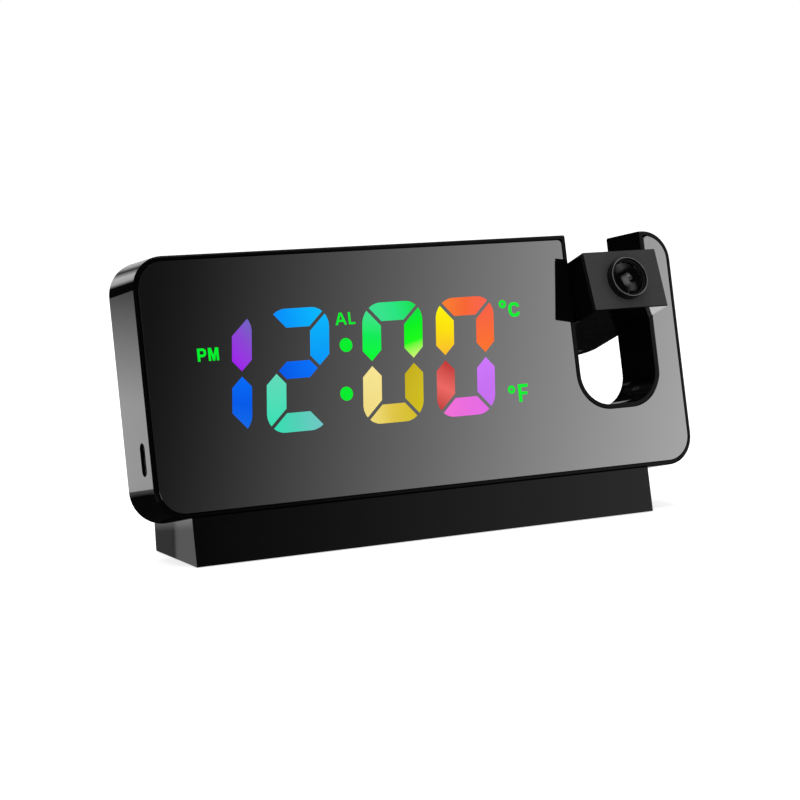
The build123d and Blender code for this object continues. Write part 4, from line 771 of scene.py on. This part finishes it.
# %% [markdown]
# ### The fade across the mirror
# The mirror goes from dark at its left to pale at its right, as it would beside a large soft box.  That is
# one wide band just above the horizon, whose left edge takes sixteen degrees to reach full light and leans
# to the right as it rises.  A weaker band on the other side serves the mirror seen from the right.

# %% Bands for the mirror
DARK = 0.009  # the dome between its windows, so that no reflection is quite black

fade = tree.rise(bearing - 0.339 * height, 16.15, 32.66) ** 1.7 * tree.rise(bearing, 54.0, 42.0)
other_fade = 0.16 * tree.rise(bearing, 14.0, -30.0) * tree.rise(bearing, -76.0, -50.0)
bands = (fade + other_fade) * tree.rise(height, 4.0, 7.0) * tree.rise(height, 22.0, 17.5)
light = DARK + 0.008 * span(bearing, 25.0, 35.0, 30.0) + bands

# %% [markdown]
# ### Strips for the left end
# The case's left end, its round upper corner and the foot's end each mirror a narrow part of the dome
# behind the clock.  Narrow strips there draw the bright lines that tell the eye how round they are.

# %% Strips for the left end
left_wall = span(bearing, -156.0, 3.0, 2.0) * tree.rise(height, -2.65, -6.3) * tree.rise(height, -10.0, -8.6)
light = light + 3.5 * left_wall
corner = 2.6 * span(bearing, -168.5, 4.0, 10.0) * tree.rise(height, 6.7, 10.0)
corner = corner + 0.85 * span(bearing, 163.0, 7.0, 8.0) * tree.rise(height, 1.0, 4.0)
light = light + corner * tree.rise(height, 15.6, 13.0)
foot_end = 0.23 * span(bearing, -160.78, 2.5, 0.05) + 0.74 * span(bearing, -155.98, 2.2, 0.05)
light = light + tree.rise(height, -9.5, -9.7) * tree.rise(height, -16.0, -12.0) * foot_end

# %% [markdown]
# ### Soft windows for the other sides
# Each row is one window: its strength, then the bearing of its middle, half its width and its soft edge,
# then the same three for its height.  The note says what mirrors it.

# %% Windows
WINDOWS = (
    (2.2, (42.0, 3.0, 5.0), (33.0, 3.0, 5.0)),  # the soft spot in the lens
    (5.0, (35.2, 2.0, 1.5), (-13.9, 1.5, 1.5)),  # the projector's gloss, itself seen in the mirror
    (0.9, (180.0, 50.0, 25.0), (60.0, 13.0, 9.0)),  # the tops, seen from above
    (0.6, (-38.0, 12.0, 20.0), (50.0, 10.0, 12.0)),  # the tops, seen from behind
    (0.6, (94.0, 12.0, 10.0), (47.0, 8.0, 8.0)),  # the back of the foot
    (0.6, (-45.0, 14.0, 12.0), (-15.0, 7.0, 7.0)),  # the left end, seen from behind
    (0.6, (135.0, 14.0, 12.0), (-13.0, 5.0, 5.0)),  # the back of the foot, seen from the left
    (0.5, (119.0, 12.0, 10.0), (-5.0, 14.0, 10.0)),  # the bevel along the right edge
    (0.35, (95.0, 25.0, 20.0), (-62.0, 12.0, 12.0)),  # the bevel along the lower edge
    (1.0, (-106.0, 14.0, 12.0), (-2.0, 12.0, 10.0)),  # the left end, seen square on
    (1.0, (88.0, 14.0, 12.0), (-12.0, 8.0, 8.0)),  # the right end, seen square on
    (1.5, (180.0, 15.0, 5.0), (-11.0, 3.0, 3.0)),  # the back of the foot and projector
    (1.1, (180.0, 26.0, 12.0), (-54.0, 9.0, 6.0)),  # the back cover
)
for strength, sideways, upwards in WINDOWS:
    light = light + strength * span(bearing, *sideways) * span(height, *upwards)
print("windows:", len(WINDOWS))

# %% [markdown]
# ### The dome itself
# The painted light goes on a ball round everything, large enough for every piece of the clock to see the
# same windows.  The world could be painted the same way, but it would light the clock as well.

# %% Dome
DOME = 20.0  # metres

glow = tree.node("Emission", inputs={"Color": light, "Strength": 1.0})
tree.put(tree.nodes.new("ShaderNodeOutputMaterial").inputs["Surface"], glow)
mesh = bmesh.new()
bmesh.ops.create_icosphere(mesh, subdivisions=4, radius=DOME)
dome = placed("reflection_dome", mesh, dome_light)
dome.visible_camera = False
dome.visible_diffuse = False
dome.visible_shadow = False
print("the dome has", len(dome.data.polygons), "faces")

# %% [markdown]
# ### Overhead lamp
# One soft lamp above gives the tops a little more light than the sides.  It is left out of reflections,
# because the dome already holds all that the gloss should show.

# %% Overhead lamp
lamp = bpy.data.lights.new("overhead_lamp", "AREA")
lamp.shape, lamp.size, lamp.size_y = "RECTANGLE", 1.2, 0.9
lamp.energy = 10.0  # watts
overhead = bpy.data.objects.new("overhead_lamp", lamp)
bpy.context.scene.collection.objects.link(overhead)
overhead.location = (-0.1, 0.1, 1.3)
overhead.visible_glossy = False
print("the lamp hangs", round(overhead.location.z, 2), "m above the table")
